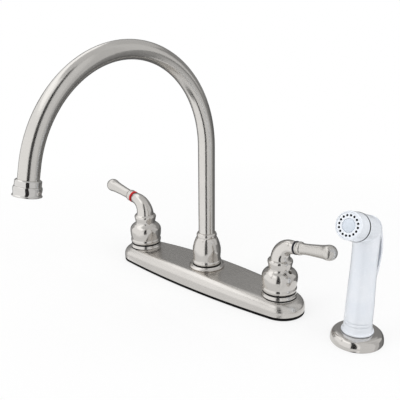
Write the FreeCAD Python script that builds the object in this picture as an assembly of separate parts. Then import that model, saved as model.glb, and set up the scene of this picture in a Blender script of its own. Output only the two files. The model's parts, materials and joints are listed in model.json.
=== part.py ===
import FreeCAD, Part
import math
import os

# Two-handle kitchen faucet with a high-arc swivel spout and a hand spray beside it.
# Frame: millimetres, Z up, the deck's top face at z = 0, the spout's axis on Z,
# the cold side towards +X and the user on the -Y side.

# ---- clearances ----
run_gap = 0.3               # air between pieces that turn or slide past each other
fit_gap = 0.05              # radial running clearance of a shaft in its bore
slip_gap = 0.1              # radial slack of a piece pushed or screwed on within one assembly

# ---- layout ----
valve_spread = 203.2        # hot valve axis to cold valve axis, the 8 inch standard
spray_offset = 193.8        # spout axis to hand spray axis
deck_grip = 20.0            # thickness of sink ledge between the gasket and the washers

# ---- cover plate and its gasket ----
gasket_thickness = 2.0
gasket_inset = 0.6
shank_hole_gap = 1.5
cover_height_spout = 20.1   # deck to the top of the cover, which is crowned along its length
cover_height_valve = 17.3
cover_half_width = 30.5     # at the spout
cover_end_radius = 24.5
cover_end_overhang = 3.4    # end arc's centre outboard of the valve axis
cover_shoulder = 9.5        # rounding between the top and the side
cover_wall = 2.0
seat_margin = 0.4           # flat seats in the crown are this much wider than the rings on them
flange_seat_depth = 0.15

# ---- cast waterway under the cover ----
valve_boss_radius = 13.0
valve_neck_radius = 12.0
valve_neck_top = 27.0
cartridge_bore = 10.1
passage_radius = 6.5
seat_floor_low = 4.5        # underside of the floor that the cartridge's seal sits on
seat_floor_high = 6.0
spout_boss_radius = 14.0
spout_neck_radius = 11.9
spout_neck_top = 42.0
spout_bore = 9.6
nipple_bore = 4.5
crossbar_radius = 5.0
crossbar_bore = 3.8
crossbar_height = 10.0
gallery_radius = 11.2       # ring-shaped passage round each cartridge
gallery_half_height = 2.5

# ---- supply shanks and their fixings ----
shank_shoulder_radius = 11.2
shank_thread_radius = 10.45 # half inch pipe thread, on its crests
shank_neck_radius = 9.3
shank_bore = 7.0
shank_length = 52.0         # below the deck
supply_thread_length = 14.0
thread_relief = 2.0
spigot_radius = 8.6
washer_thickness = 2.0
washer_radius = 17.0
nut_height = 12.0
nut_radius = 18.0           # across corners, halved
hose_nipple_radius = 6.5
hose_nipple_length = 32.0
hose_nipple_bore = 3.5
nipple_hex_radius = 8.6
nipple_hex_height = 4.0

# ---- base rings, glide rings and cartridge ----
base_ring_radius = 18.7
base_ring_top_radius = 17.7
base_ring_height = 4.8
base_ring_lip = 0.6         # straight edge at its foot and its top
glide_ring_height = 1.4
glide_ring_radius = 17.2
glide_ring_bore = 15.9
bonnet_hex_radius = 15.5
bonnet_height = 8.5
cartridge_radius = 9.9
cartridge_flange_radius = 11.4
cartridge_flange_height = 2.0
cartridge_top_radius = 8.2
cartridge_top = 36.0
disc_pocket_radius = 7.9
seal_thickness = 1.4
disc_thickness = 1.7
disc_radius = 7.6
disc_port_radius = 2.4
stem_radius = 4.5
stem_drive_radius = 7.3
stem_drive_height = 3.2
spline_radius = 3.9
spline_teeth = 16
stem_top = 48.0

# ---- handle: bell, neck bead, elbow and lever ----
bell_skirt_radius = 17.8
bell_band_radius = 18.4
bell_band_height = 2.2      # above the bell's lower edge, like the heights after it
bell_waist_radius = 17.75
bell_waist_height = 4.7
bell_belly_radius = 18.85
bell_belly_height = 13.0
bell_shoulder = ((0.25, 16.9), (1.45, 19.3), (3.95, 21.8), (5.95, 23.4))    # inside the belly, height
bell_cavity_radius = 16.4
bell_cavity_height = 12.2
bell_roof_radius = 12.5
bell_roof_height = 17.2
handle_hub_radius = 7.5
handle_hub_height = 13.2
neck_radius = 12.0
neck_height = 24.7
neck_bead_radius = 13.2
neck_bead_height = 31.8
neck_bead_top = 34.7
elbow_start_height = 35.2
elbow_start_radius = 10.4
elbow_bend_radius = 16.0
elbow_straight = 6.6
elbow_end_radius = 6.5
elbow_end_swell = 0.7       # how much thicker the elbow is where its bend ends
lever_rise = 10.0           # degrees above level
lever_stud_radius = 3.0
lever_stud_length = 12.0
index_ring_radius = 6.9
index_ring_thickness = 1.6
grip_collar_radius = 6.6
grip_bead_radius = 7.0
grip_waist_radius = 5.65
grip_end_radius = 7.8
grip_length = 47.1
hot_lever_turn = 178.7      # plan angle of each lever from +X, turned off
cold_lever_turn = -5.0
set_screw_radius = 1.9
set_screw_length = 8.0
set_screw_tilt = 30.0       # degrees below level, inwards
set_screw_height = 46.6     # where its hole's axis would meet the bell's shoulder
set_screw_reach = 14.6

# ---- spout ----
tube_radius = 9.15
tube_wall = 1.2
column_top = 160.0          # where the bend starts
bend_radius = 110.0
bend_angle = 168.0
outlet_straight = 14.0
tail_radius = 9.54
tail_low = 24.0
tail_flange_radius = 11.5
tail_flange_height = 1.7
tail_spigot_height = 12.0
tail_bore = 6.6
oring_heights = (28.0, 35.0)
oring_section = 1.0
spout_flange_radius = 20.1
spout_flange_height = 3.95
spout_flange_slope = 2.6    # how much narrower its top is
lock_ring_radius = 13.8
lock_ring_height = 4.0
lock_ring_slot = 3.0
lock_ring_slot_depth = 1.0
hub_ring_radius = 16.2
hub_ring_bore = 14.1
hub_ring_height = 1.1
retaining_nut_radius = 14.2
retaining_nut_height = 14.0
retaining_lip = 1.4
hub_height = 35.7
hub_cavity_radius = 14.6
hub_roof_radius = 12.9
hub_roof_gap = 1.3
hub_roof_slope = 3.0
hub_foot_radius = 16.1
hub_band_radius = 16.55
hub_band_height = 1.5       # above the hub's lower edge, like the heights after it
hub_waist_radius = 15.6
hub_waist_height = 3.9
hub_belly_radius = 16.0
hub_outline = ((0.35, 7.5), (0.0, 13.0), (0.25, 17.8), (1.0, 21.0), (1.55, 23.3), (2.4, 25.7),
               (3.5, 28.3), (5.0, 30.4))    # inside the belly, height
hub_collar_radius = 11.35
hub_collar_height = 33.2

# ---- aerator, along the outlet from the end of the bend ----
collar_start = 10.4
collar_radius = 11.2
collar_length = 5.5
collar_thread_radius = 10.2
collar_thread_length = 3.6
collar_chamfer = 1.0
housing_length = 8.7
housing_radius = 12.1
housing_waist_radius = 11.7
housing_lip_radius = 12.5
housing_mouth_radius = 8.8
insert_radius = 9.9
screen_pitch = 2.4
screen_bar = 0.6
screen_thickness = 0.7
insert_thickness = 1.2

# ---- diverter in the spout's bore ----
diverter_radius = 9.5
diverter_top = 22.0
diverter_bore = 5.0
diverter_floor = 2.0
piston_radius = 4.95
piston_height = 5.5
piston_stem_radius = 2.5
piston_stem_length = 5.0

# ---- hand spray: flange, guide and fixings ----
spray_flange_radius = 25.6
spray_flange_height = 10.2
spray_seat_height = 8.6     # the spray stands on the guide's lip here
guide_radius = 13.0
guide_bore = 11.3
guide_lip_radius = 15.1
guide_lip = 1.6
guide_length = 42.0         # below the deck
guide_end_length = 8.0      # of bare shank under the nut
guide_groove_radius = 12.2

# ---- hand spray: handle and head ----
lean = 2.5                  # degrees that the handle leans back
handle_base_radius = 14.3
handle_length = 104.3       # seat to the centre of the elbow's ball
elbow_ball_radius = 12.9
handle_waist_radius = 12.3
foot_depth = 2.0            # of the moulding below the seat's height, before its underside is cut level
foot_band = 1.5
grip_outline = ((0.45, 0.06), (0.7, 0.17), (0.9, 0.31), (1.3, 0.42), (1.7, 0.56))   # inside the base, share
grip_waist_shares = (0.69, 0.84)
handle_bore = 4.2
head_rise = 18.5            # degrees of the head above square to the handle
head_reach = 39.4           # ball centre to the face
head_neck_radius = 13.5
head_cup_length = 15.8      # seam to the face
head_spigot_radius = 10.3
head_spigot_length = 9.0
seam_ring_thickness = 0.9
cup_rim_radius = 13.0
cup_mouth_radius = 11.8
cup_mouth_depth = 2.0
face_thickness = 1.6
face_holes = 16
face_hole_circle = 9.1
face_hole_radius = 0.75
button_radius = 6.0
button_recess = 6.3
button_floor = 0.6
button_dome = 0.6
coupling_radius = 10.8
coupling_length = 30.0      # below the seat
coupling_spigot_radius = 8.9
coupling_spigot_length = 11.4
coupling_bore = 3.6
barb_radius = 5.4
barb_length = 10.0
coupling_washer_thickness = 1.2
groove_depth = 0.4
groove_width = 0.8
groove_heights = (10.0, 13.6)

# ---- hand spray: trigger and valve, depths along the handle below the centre of the elbow's ball ----
trigger_thickness = 2.4
trigger_half_width = 10.4
trigger_travel = 4.0        # degrees
trigger_room = 0.6          # air round the trigger when it is pressed
trigger_outline = ((13.2, 46.8), (15.1, 39.8), (16.7, 30.8), (17.7, 24.3), (17.2, 16.3), (15.6, 7.3))
trigger_crown_radius = 13.3
trigger_top_gap = 1.0       # neck's plane to the trigger's upper end
trigger_foot_gap = 1.5      # pocket's floor below the trigger's lower end
nub_radius = 1.6
pin_radius = 1.4
pin_half_length = 5.2
pin_back = 4.2              # behind the handle's axis
pin_above_ball = 7.1
lug_radius = 2.8
lug_half_width = 2.5
lug_web = 2.0               # half the thickness of the bar from the ear to the trigger
valve_depth = 11.3
valve_chamber_radius = 5.0
valve_front = -5.5
valve_back = 6.5
valve_seal_thickness = 1.2
plunger_radius = 2.0
plunger_disc_radius = 4.2
plunger_disc_thickness = 1.2
plunger_tip = 13.6
spring_radius = 3.3
spring_wire_radius = 0.3
spring_turns = 5

# ---- worked-out places ----
valve_x = valve_spread / 2
cover_end_x = valve_x + cover_end_overhang
cover_side_radius = ((cover_end_x ** 2 + cover_half_width ** 2 - cover_end_radius ** 2)
                     / (2 * (cover_half_width - cover_end_radius)))
crown_drop = cover_height_spout - cover_height_valve
crown_radius = (valve_x ** 2 + crown_drop ** 2) / (2 * crown_drop)
base_ring_top = cover_height_valve + base_ring_height
glide_ring_top = base_ring_top + glide_ring_height
bell_low = glide_ring_top + run_gap
bonnet_top = base_ring_top + bonnet_height
bonnet_lip_low = valve_neck_top + cartridge_flange_height
disc_low = seat_floor_high + seal_thickness
stem_low = disc_low + 2 * disc_thickness
washer_top = -deck_grip
nut_top = washer_top - washer_thickness
nut_low = nut_top - nut_height
tube_bore = tube_radius - tube_wall
tail_flange_low = spout_neck_top + run_gap
tube_low = tail_flange_low + tail_flange_height
retaining_nut_top = tube_low + run_gap + retaining_lip
retaining_nut_low = retaining_nut_top - retaining_nut_height
hub_cavity_top = retaining_nut_top + hub_roof_gap
spout_seat = cover_height_spout - flange_seat_depth
spout_flange_top = spout_seat + spout_flange_height
hub_low = spout_flange_top + hub_ring_height + run_gap
seam_reach = head_reach - head_cup_length
ball_height = handle_length
pin_height = ball_height + pin_above_ball
valve_height = ball_height - valve_depth
trigger_low = ball_height - trigger_outline[0][1]
plunger_travel = (pin_height - valve_height) * math.radians(trigger_travel)

V = FreeCAD.Vector
UP = V(0, 0, 1)
ORIGIN = V(0, 0, 0)


# ---- shared shapes ----

def rod(radius, low, high):
    """Upright round bar on the Z axis."""
    return Part.makeCylinder(radius, high - low, V(0, 0, low))


def pipe(outer, inner, low, high):
    """Upright pipe or washer on the Z axis."""
    return rod(outer, low, high).cut(rod(inner, low, high))


def chain(start, runs):
    """Closed wire in the XZ plane from (radius, height) points, beginning at start.

    Each run lists the points after the last one: one point makes a straight line,
    two make an arc and more make a smooth curve.
    """
    edges = []
    here = V(start[0], 0, start[1])
    for run in runs:
        points = [here] + [V(radius, 0, height) for radius, height in run]
        if len(points) == 2:
            curve = Part.LineSegment(*points)
        elif len(points) == 3:
            curve = Part.Arc(*points)
        else:
            curve = Part.BSplineCurve()
            curve.interpolate(points)
        edges.append(curve.toShape())
        here = points[-1]
    edges.append(Part.LineSegment(here, V(start[0], 0, start[1])).toShape())
    return Part.Wire(edges)


def turned(start, *runs):
    """Solid turned about the Z axis from the outline that chain describes."""
    return Part.Face(chain(start, runs)).revolve(ORIGIN, UP, 360)


def hexagon(radius, low, high):
    """Upright hexagonal bar, radius measured to its corners."""
    corners = [V(radius * math.cos(math.radians(60 * k)), radius * math.sin(math.radians(60 * k)), low)
               for k in range(6)]
    return Part.Face(Part.makePolygon(corners + corners[:1])).extrude(V(0, 0, high - low))


def hex_nut(radius, bore, low, high):
    """Hexagonal nut with its outer corners rounded off, as a turned chamfer leaves them."""
    flats = radius * math.cos(math.radians(30))
    rise = (radius - flats) / 2
    chamfer = turned((0, low), [(flats, low)], [(radius, low + rise)], [(radius, high - rise)],
                     [(flats, high)], [(0, high)])
    return hexagon(radius, low, high).common(chamfer).cut(rod(bore, low, high))


def placed(shape, place):
    """Copy of a shape carried by a placement."""
    moved = shape.copy()
    moved.Placement = place.multiply(moved.Placement)
    return moved


def at(x, y=0.0, z=0.0):
    """Placement that only shifts."""
    return FreeCAD.Placement(V(x, y, z), FreeCAD.Rotation())


def tipped(base, degrees):
    """Placement that swings +Z towards -Y by an angle about X, then shifts to base."""
    return FreeCAD.Placement(base, FreeCAD.Rotation(V(1, 0, 0), degrees))


def at_both_valves(shape):
    """The same piece on the hot and on the cold valve's axis."""
    return [placed(shape, at(side * valve_x)) for side in (-1, 1)]


def save(name, *solids):
    """Write one sub-part, which may be a group of like solids."""
    shape = solids[0] if len(solids) == 1 else Part.makeCompound(list(solids))
    shape.exportStep("parts/" + name + ".step")


# ---- cover, gasket and waterway ----

def plan(inset, height):
    """Outline of the cover seen from above, drawn in by inset: two long side arcs, two end arcs."""
    centre_y = cover_side_radius - cover_half_width
    slope = V(cover_end_x, -centre_y, 0).multiply(1 / (cover_side_radius - cover_end_radius))
    tangent = V(0, centre_y, 0) + slope * (cover_side_radius - inset)
    right_front = V(tangent.x, tangent.y, height)
    right_back = V(tangent.x, -tangent.y, height)
    left_front = V(-tangent.x, tangent.y, height)
    left_back = V(-tangent.x, -tangent.y, height)
    end = V(cover_end_x + cover_end_radius - inset, 0, height)
    side = V(0, -cover_half_width + inset, height)
    arcs = ((left_front, side, right_front), (right_front, end, right_back),
            (right_back, V(0, -side.y, height), left_back), (left_back, V(-end.x, 0, height), left_front))
    return Part.Wire([Part.Arc(*arc).toShape() for arc in arcs])


def crown_height(x):
    """Height of the cover's crowned top at a distance from the spout's axis."""
    return cover_height_spout - crown_radius + math.sqrt(crown_radius ** 2 - x ** 2)


def crowned_block(inset, rounding):
    """Upright block on the cover's outline, drawn in by inset at the sides and the crowned top."""
    low = gasket_thickness
    block = Part.Face(plan(inset, low)).extrude(V(0, 0, cover_height_spout))
    axis_height = cover_height_spout - crown_radius
    crown = Part.makeCylinder(crown_radius - inset, 4 * cover_half_width,
                              V(0, -2 * cover_half_width, axis_height), V(0, 1, 0))
    crown.rotate(V(0, 0, axis_height), V(0, 1, 0), 90)    # its seam line goes away from the top
    block = block.common(crown)
    top_edges = [edge for edge in block.Edges if min(v.Z for v in edge.Vertexes) > low + rounding]
    return block.makeFillet(rounding, top_edges)


def cover_plate():
    """Pressed cover: a crowned shell, open below, with holes and flat seats for valves and spout."""
    shell = crowned_block(0, cover_shoulder).cut(crowned_block(cover_wall, cover_shoulder - cover_wall))
    above = cover_height_spout + 1
    pad_radius = base_ring_radius + seat_margin
    for x in (-valve_x, valve_x):
        shell = shell.fuse(placed(rod(pad_radius, cover_height_valve - cover_wall, cover_height_valve), at(x)))
        shell = shell.cut([placed(rod(pad_radius, cover_height_valve, above), at(x)),
                           placed(rod(valve_neck_radius + slip_gap, 0, above), at(x))])
    return shell.cut([rod(spout_flange_radius + seat_margin, spout_seat, above),
                      rod(spout_neck_radius + slip_gap, 0, above)])


def deck_gasket():
    """Flat rubber sheet under the cover with room for the shanks and the hose nipple."""
    sheet = Part.Face(plan(gasket_inset, 0)).extrude(V(0, 0, gasket_thickness))
    for hole in at_both_valves(rod(shank_shoulder_radius + shank_hole_gap, 0, gasket_thickness)):
        sheet = sheet.cut(hole)
    return sheet.cut(rod(nipple_hex_radius + shank_hole_gap, 0, gasket_thickness))


def waterway():
    """One brass casting: two valve bodies and the spout's body, joined by a crossbar."""
    valve_boss_top = crown_height(valve_x + valve_boss_radius) - cover_wall - run_gap
    valve_body = rod(valve_boss_radius, gasket_thickness, valve_boss_top)
    valve_body = valve_body.fuse(rod(valve_neck_radius, valve_boss_top, valve_neck_top))
    spout_boss_top = crown_height(spout_boss_radius) - cover_wall - run_gap
    spout_body = rod(spout_boss_radius, gasket_thickness, spout_boss_top)
    spout_body = spout_body.fuse(rod(spout_neck_radius, spout_boss_top, spout_neck_top))
    crossbar = Part.makeCylinder(crossbar_radius, valve_spread, V(-valve_x, 0, crossbar_height), V(1, 0, 0))
    casting = spout_body.fuse([crossbar] + at_both_valves(valve_body))
    valve_bore = rod(spigot_radius + slip_gap, gasket_thickness, seat_floor_low)
    valve_bore = valve_bore.fuse([rod(passage_radius, seat_floor_low, seat_floor_high),
                                  rod(cartridge_bore, seat_floor_high, valve_neck_top),
                                  rod(gallery_radius, crossbar_height - gallery_half_height,
                                      crossbar_height + gallery_half_height)])
    spout_hollow = rod(nipple_bore, gasket_thickness, seat_floor_high)
    spout_hollow = spout_hollow.fuse(rod(spout_bore, seat_floor_high, spout_neck_top))
    cross_bore = Part.makeCylinder(crossbar_bore, valve_spread, V(-valve_x, 0, crossbar_height), V(1, 0, 0))
    return casting.cut([spout_hollow, cross_bore] + at_both_valves(valve_bore)).removeSplitter()


# ---- below the deck ----

def supply_shank():
    """Brass shank: plain shoulder through the deck, a nut's thread, a relief and the supply thread."""
    shoulder_low = washer_top + 1
    relief_top = -shank_length + supply_thread_length + thread_relief
    shank = rod(shank_shoulder_radius, shoulder_low, gasket_thickness)
    shank = shank.fuse([rod(shank_thread_radius - 0.15, relief_top, shoulder_low),
                        rod(shank_neck_radius, relief_top - thread_relief, relief_top),
                        rod(shank_thread_radius, -shank_length, relief_top - thread_relief),
                        rod(spigot_radius, gasket_thickness, seat_floor_low)])
    return shank.cut(rod(shank_bore, -shank_length, seat_floor_low))


def washer_for(shank_radius, outer):
    """Steel washer drawn up against the underside of the deck."""
    return pipe(outer, shank_radius + run_gap, nut_top, washer_top)


def nut_for(shank_radius, outer):
    """Hexagonal mounting nut with a round flange against the washer."""
    nut = hex_nut(outer, shank_radius + slip_gap, nut_low, nut_top)
    return nut.fuse(pipe(outer - 1, shank_radius + slip_gap, nut_top - 2, nut_top))


def hose_nipple():
    """Threaded outlet for the spray's hose, screwed up into the spout's body."""
    nipple = hexagon(nipple_hex_radius, gasket_thickness - nipple_hex_height, gasket_thickness)
    nipple = nipple.fuse([rod(hose_nipple_radius, -hose_nipple_length, gasket_thickness - nipple_hex_height),
                          rod(nipple_bore - slip_gap, gasket_thickness, seat_floor_high)])
    return nipple.cut(rod(hose_nipple_bore, -hose_nipple_length, seat_floor_high))


# ---- valves ----

def base_ring():
    """Turned ring that the bell stands over: a cove from the cover up to a narrower top."""
    bore = valve_neck_radius + slip_gap
    low = cover_height_valve
    cove = ((2 * base_ring_top_radius + base_ring_radius) / 3, (low + base_ring_top) / 2)
    return turned((bore, low), [(base_ring_radius, low)], [(base_ring_radius, low + base_ring_lip)],
                  [cove, (base_ring_top_radius, base_ring_top - base_ring_lip)],
                  [(base_ring_top_radius, base_ring_top)], [(bore, base_ring_top)])


def bonnet_nut():
    """Hexagonal nut with an inner lip that holds the cartridge down."""
    nut = hex_nut(bonnet_hex_radius, valve_neck_radius + slip_gap, base_ring_top, bonnet_top)
    return nut.fuse(pipe(valve_neck_radius + 1, cartridge_top_radius + slip_gap, bonnet_lip_low, bonnet_top))


def cartridge_body():
    """Brass cartridge: a cup over the two discs, side windows, a clamping flange and a stem bore."""
    body = rod(cartridge_radius, disc_low, valve_neck_top)
    body = body.fuse([rod(cartridge_flange_radius, valve_neck_top, bonnet_lip_low),
                      rod(cartridge_top_radius, bonnet_lip_low, cartridge_top)])
    pocket_top = stem_low + stem_drive_height + run_gap
    body = body.cut([rod(disc_pocket_radius, disc_low, pocket_top),
                     rod(stem_radius + fit_gap, pocket_top, cartridge_top)])
    window = Part.makeBox(2 * cartridge_radius, 6, 2.4, V(-cartridge_radius, -3, stem_low + 0.4))
    return body.cut(window)


def ported_disc():
    """Lapped ceramic disc with two ports opposite each other."""
    disc = rod(disc_radius, 0, disc_thickness)
    ports = [placed(rod(disc_port_radius, 0, disc_thickness), at(0, side * 4.2)) for side in (-1, 1)]
    return disc.cut(ports)


def valve_stem():
    """Stem: slotted drive on the moving disc, a polished shank and a splined top."""
    spline = rod(spline_radius, cartridge_top, stem_top)
    tooth = Part.makeBox(0.8, 0.7, stem_top - cartridge_top,
                         V(spline_radius - 0.35, -0.35, cartridge_top))
    teeth = []
    for k in range(spline_teeth):
        cut = tooth.copy()
        cut.rotate(ORIGIN, UP, 360 / spline_teeth * k)
        teeth.append(cut)
    stem = spline.cut(teeth)
    stem = stem.fuse([rod(stem_radius, stem_low + stem_drive_height, cartridge_top),
                      rod(stem_drive_radius, stem_low, stem_low + stem_drive_height)])
    return stem.cut(placed(rod(disc_port_radius, stem_low, stem_low + 1.5), at(0, 4.2)))


# ---- handles ----

def bend_sections():
    """Round sections of the elbow: along a circle of bend_radius, then a short straight, tapering."""
    last = 90 - lever_rise
    steps = 5
    sections = [(0.0, elbow_start_height - 4, 0.0, elbow_start_radius)]
    for k in range(steps):
        turn = last * k / (steps - 1)
        angle = math.radians(turn)
        share = k / (steps - 1)
        sections.append((elbow_bend_radius * (1 - math.cos(angle)),
                         elbow_start_height + elbow_bend_radius * math.sin(angle), turn,
                         elbow_start_radius + (elbow_end_radius + elbow_end_swell - elbow_start_radius) * share))
    x, z = seam_point()
    sections.append((x, z - bell_low, last, elbow_end_radius))
    return sections


def seam_point():
    """Middle of the elbow's end face, from the valve's axis and the deck."""
    last = math.radians(90 - lever_rise)
    x = elbow_bend_radius * (1 - math.cos(last)) + elbow_straight * math.sin(last)
    z = elbow_start_height + elbow_bend_radius * math.sin(last) + elbow_straight * math.cos(last)
    return x, bell_low + z


def lever_frame():
    """Placement whose +Z runs out along the lever from the elbow's end face."""
    x, z = seam_point()
    return FreeCAD.Placement(V(x, 0, z), FreeCAD.Rotation(V(0, 1, 0), 90 - lever_rise))


def handle_casting():
    """Bell, bead and elbow in one casting, lever towards +X, valve axis on Z."""
    belly = bell_belly_radius
    bead = neck_bead_radius
    shoulder = [(belly - inside, height) for inside, height in bell_shoulder]
    bell = turned((0, 0), [(bell_skirt_radius, 0)],
                  [(bell_band_radius, bell_band_height), (bell_waist_radius, bell_waist_height)],
                  [(belly - 0.4, (bell_waist_height + bell_belly_height) / 2 - 0.5), (belly, bell_belly_height)]
                  + shoulder + [(neck_radius, neck_height)],
                  [(neck_radius + 0.3, neck_height + 2.4), (bead - 0.2, neck_bead_height - 1.4),
                   (bead, neck_bead_height), (bead - 0.9, neck_bead_top - 1)],
                  [(elbow_start_radius, neck_bead_top)], [(0, neck_bead_top)])
    wires = []
    for x, z, turn, radius in bend_sections():
        angle = math.radians(turn)
        circle = Part.Circle(V(x, 0, z), V(math.sin(angle), 0, math.cos(angle)), radius)
        wires.append(Part.Wire(circle.toShape()))
    elbow = Part.makeLoft(wires, True)
    cavity = turned((0, 0), [(bell_cavity_radius, 0)], [(bell_cavity_radius, bell_cavity_height)],
                    [(bell_roof_radius, bell_roof_height)], [(0, bell_roof_height)])
    cavity = cavity.cut(rod(handle_hub_radius, handle_hub_height, bell_roof_height))
    casting = placed(bell.fuse(elbow).cut(cavity), at(0, 0, bell_low))
    stud = placed(rod(lever_stud_radius, -1, lever_stud_length), lever_frame())
    casting = casting.fuse(stud).cut(rod(spline_radius + slip_gap, bell_low, stem_top + 1))
    return casting.cut(placed(rod(set_screw_radius + slip_gap, 0, 2 * set_screw_reach), set_screw_frame()))


def set_screw_frame():
    """Placement at the stem's side, +Z running up and out along the set screw's hole."""
    tilt = math.radians(set_screw_tilt)
    start = V(spline_radius, 0, set_screw_height - (set_screw_reach - spline_radius) * math.tan(tilt))
    return FreeCAD.Placement(start, FreeCAD.Rotation(V(0, 1, 0), 90 - set_screw_tilt))


def set_screw():
    """Headless screw with a hexagonal socket."""
    first = slip_gap + set_screw_radius * math.tan(math.radians(set_screw_tilt))
    screw = rod(set_screw_radius, first, set_screw_length)
    socket = hexagon(set_screw_radius * 0.55, set_screw_length - 2, set_screw_length)
    return placed(screw.cut(socket), set_screw_frame())


def index_ring():
    """Coloured ring between the elbow and the grip."""
    rim = index_ring_radius
    bore = lever_stud_radius + slip_gap
    ring = turned((bore, 0), [(rim - 0.3, 0)], [(rim, index_ring_thickness / 2), (rim - 0.3, index_ring_thickness)],
                  [(bore, index_ring_thickness)])
    return placed(ring, lever_frame())


def lever_grip():
    """Turned grip: collar, bead, slim waist, flared end and blunt tip, screwed on the elbow's stud."""
    bore = lever_stud_radius + slip_gap
    bore_depth = lever_stud_length + 0.5
    first = index_ring_thickness
    last = first + grip_length
    grip = turned((bore, first), [(grip_collar_radius, first)], [(grip_collar_radius, first + 2)],
                  [(grip_bead_radius, first + 3.8), (grip_waist_radius + 0.3, first + 6.4)],
                  [(grip_waist_radius, first + 10), (grip_waist_radius + 0.05, first + 14.5),
                   (grip_waist_radius + 0.7, last - 20.5), (grip_end_radius - 0.6, last - 12),
                   (grip_end_radius, last - 8), (grip_end_radius - 0.7, last - 4.6),
                   (grip_end_radius - 2.7, last - 1.9), (grip_end_radius * 0.35, last - 0.35), (0, last)],
                  [(0, bore_depth)], [(bore, bore_depth)])
    return placed(grip, lever_frame())


def save_handle(side, turn, x):
    """Write the six pieces of one handle, its lever turned to a plan angle."""
    place = FreeCAD.Placement(V(x, 0, 0), FreeCAD.Rotation(UP, turn))
    pieces = {"handle": handle_casting(), "index_ring": index_ring(), "lever_grip": lever_grip(),
              "set_screw": set_screw(), "stem": valve_stem(),
              "moving_disc": placed(ported_disc(), at(0, 0, disc_low + disc_thickness))}
    for name, piece in pieces.items():
        save(side + "_" + name, placed(piece, place))


# ---- spout ----

def spout_frame():
    """Placement at the end of the bend, +Z running out along the outlet."""
    angle = math.radians(bend_angle)
    end = V(0, -bend_radius * (1 - math.cos(angle)), column_top + bend_radius * math.sin(angle))
    return tipped(end, bend_angle)


def spout_tube():
    """Bent tube: an upright column, one large bend over towards the user and a short outlet."""
    ring = Part.Face([Part.Wire(Part.Circle(V(0, 0, column_top), UP, tube_radius).toShape()),
                      Part.Wire(Part.Circle(V(0, 0, column_top), UP, tube_bore).toShape())])
    bend = ring.revolve(V(0, -bend_radius, column_top), V(1, 0, 0), bend_angle)
    outlet = placed(pipe(tube_radius, tube_bore, 0, outlet_straight), spout_frame())
    return pipe(tube_radius, tube_bore, tube_low, column_top).fuse([bend, outlet]).removeSplitter()


def spout_tail():
    """Brass tail that turns in the spout's body, with two grooves and a flange below the tube."""
    tail = rod(tail_radius, tail_low, tail_flange_low)
    tail = tail.fuse([rod(tail_flange_radius, tail_flange_low, tube_low),
                      rod(tube_bore - slip_gap, tube_low, tube_low + tail_spigot_height)])
    tail = tail.cut(rod(tail_bore, tail_low, tube_low + tail_spigot_height))
    grooves = [pipe(tail_radius, tail_radius - 2 * oring_section, height - oring_section, height + oring_section)
               for height in oring_heights]
    return tail.cut(grooves)


def oring(height):
    """Rubber ring in one of the tail's grooves, just short of the bore's wall."""
    return Part.makeTorus(tail_radius - oring_section, oring_section - 0.02, V(0, 0, height))


def retaining_nut():
    """Nut that traps the tail's flange on the spout's body and lets it turn."""
    bore = spout_neck_radius + slip_gap
    room = tail_flange_radius + run_gap
    lip_low = tube_low + run_gap
    lip_bore = tube_radius + run_gap
    return turned((bore, retaining_nut_low), [(retaining_nut_radius, retaining_nut_low)],
                  [(retaining_nut_radius, lip_low - 1)], [(room + 0.6, retaining_nut_top)],
                  [(lip_bore, retaining_nut_top)], [(lip_bore, lip_low)], [(room, lip_low)],
                  [(room, spout_neck_top)], [(bore, spout_neck_top)])


def spout_flange():
    """Turned flange under the spout's hub: undercut foot, narrow rim and a cove up to its top."""
    bore = spout_neck_radius + slip_gap
    rim = spout_flange_radius
    low = spout_seat
    top = spout_flange_top
    return turned((bore, low), [(rim - 1.1, low)], [(rim, low + 1)], [(rim, low + 1.8)],
                  [(rim - 0.55 * spout_flange_slope, low + 2.7), (rim - spout_flange_slope, top)], [(bore, top)])


def lock_ring():
    """Round ring nut with four spanner slots that holds the spout's flange down."""
    low = spout_flange_top
    ring = pipe(lock_ring_radius, spout_neck_radius + slip_gap, low, low + lock_ring_height)
    slot = Part.makeBox(2 * lock_ring_radius, lock_ring_slot, lock_ring_height,
                        V(lock_ring_radius - lock_ring_slot_depth, -lock_ring_slot / 2, low))
    slots = []
    for k in range(4):
        turned_slot = slot.copy()
        turned_slot.rotate(ORIGIN, UP, 90 * k)
        slots.append(turned_slot)
    return ring.cut(slots)


def spout_hub():
    """Vase-shaped hub round the tube's foot: bottom band, long belly and a beaded collar."""
    collar = hub_collar_radius
    bore = tube_radius + slip_gap / 2
    top = hub_low + hub_height
    outline = [(hub_belly_radius - inside, hub_low + height) for inside, height in hub_outline]
    return turned((hub_cavity_radius, hub_low), [(hub_foot_radius, hub_low)],
                  [(hub_band_radius, hub_low + hub_band_height), (hub_waist_radius, hub_low + hub_waist_height)],
                  outline, [(collar, hub_low + hub_collar_height), (collar - 0.6, top - 0.6)], [(bore + 0.9, top)],
                  [(bore, top)], [(bore, hub_cavity_top)], [(hub_roof_radius, hub_cavity_top)],
                  [(hub_cavity_radius, hub_cavity_top - hub_roof_slope)])


# ---- aerator, drawn along +Z from the end of the bend ----

collar_end = collar_start + collar_length
thread_end = collar_end + collar_thread_length
insert_low = thread_end + seal_thickness
screen_low = insert_low + insert_thickness
ledge = screen_low + screen_thickness
mouth = collar_end + housing_length


def aerator_collar():
    """Polished collar brazed on the tube's end, threaded below for the housing."""
    bore = tube_radius + slip_gap / 2
    outer = collar_radius
    return turned((bore, collar_start), [(outer - collar_chamfer, collar_start)],
                  [(outer, collar_start + collar_chamfer)], [(outer, collar_end)],
                  [(collar_thread_radius, collar_end)], [(collar_thread_radius, thread_end)],
                  [(tube_bore, thread_end)], [(tube_bore, outlet_straight)], [(bore, outlet_straight)])


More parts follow.
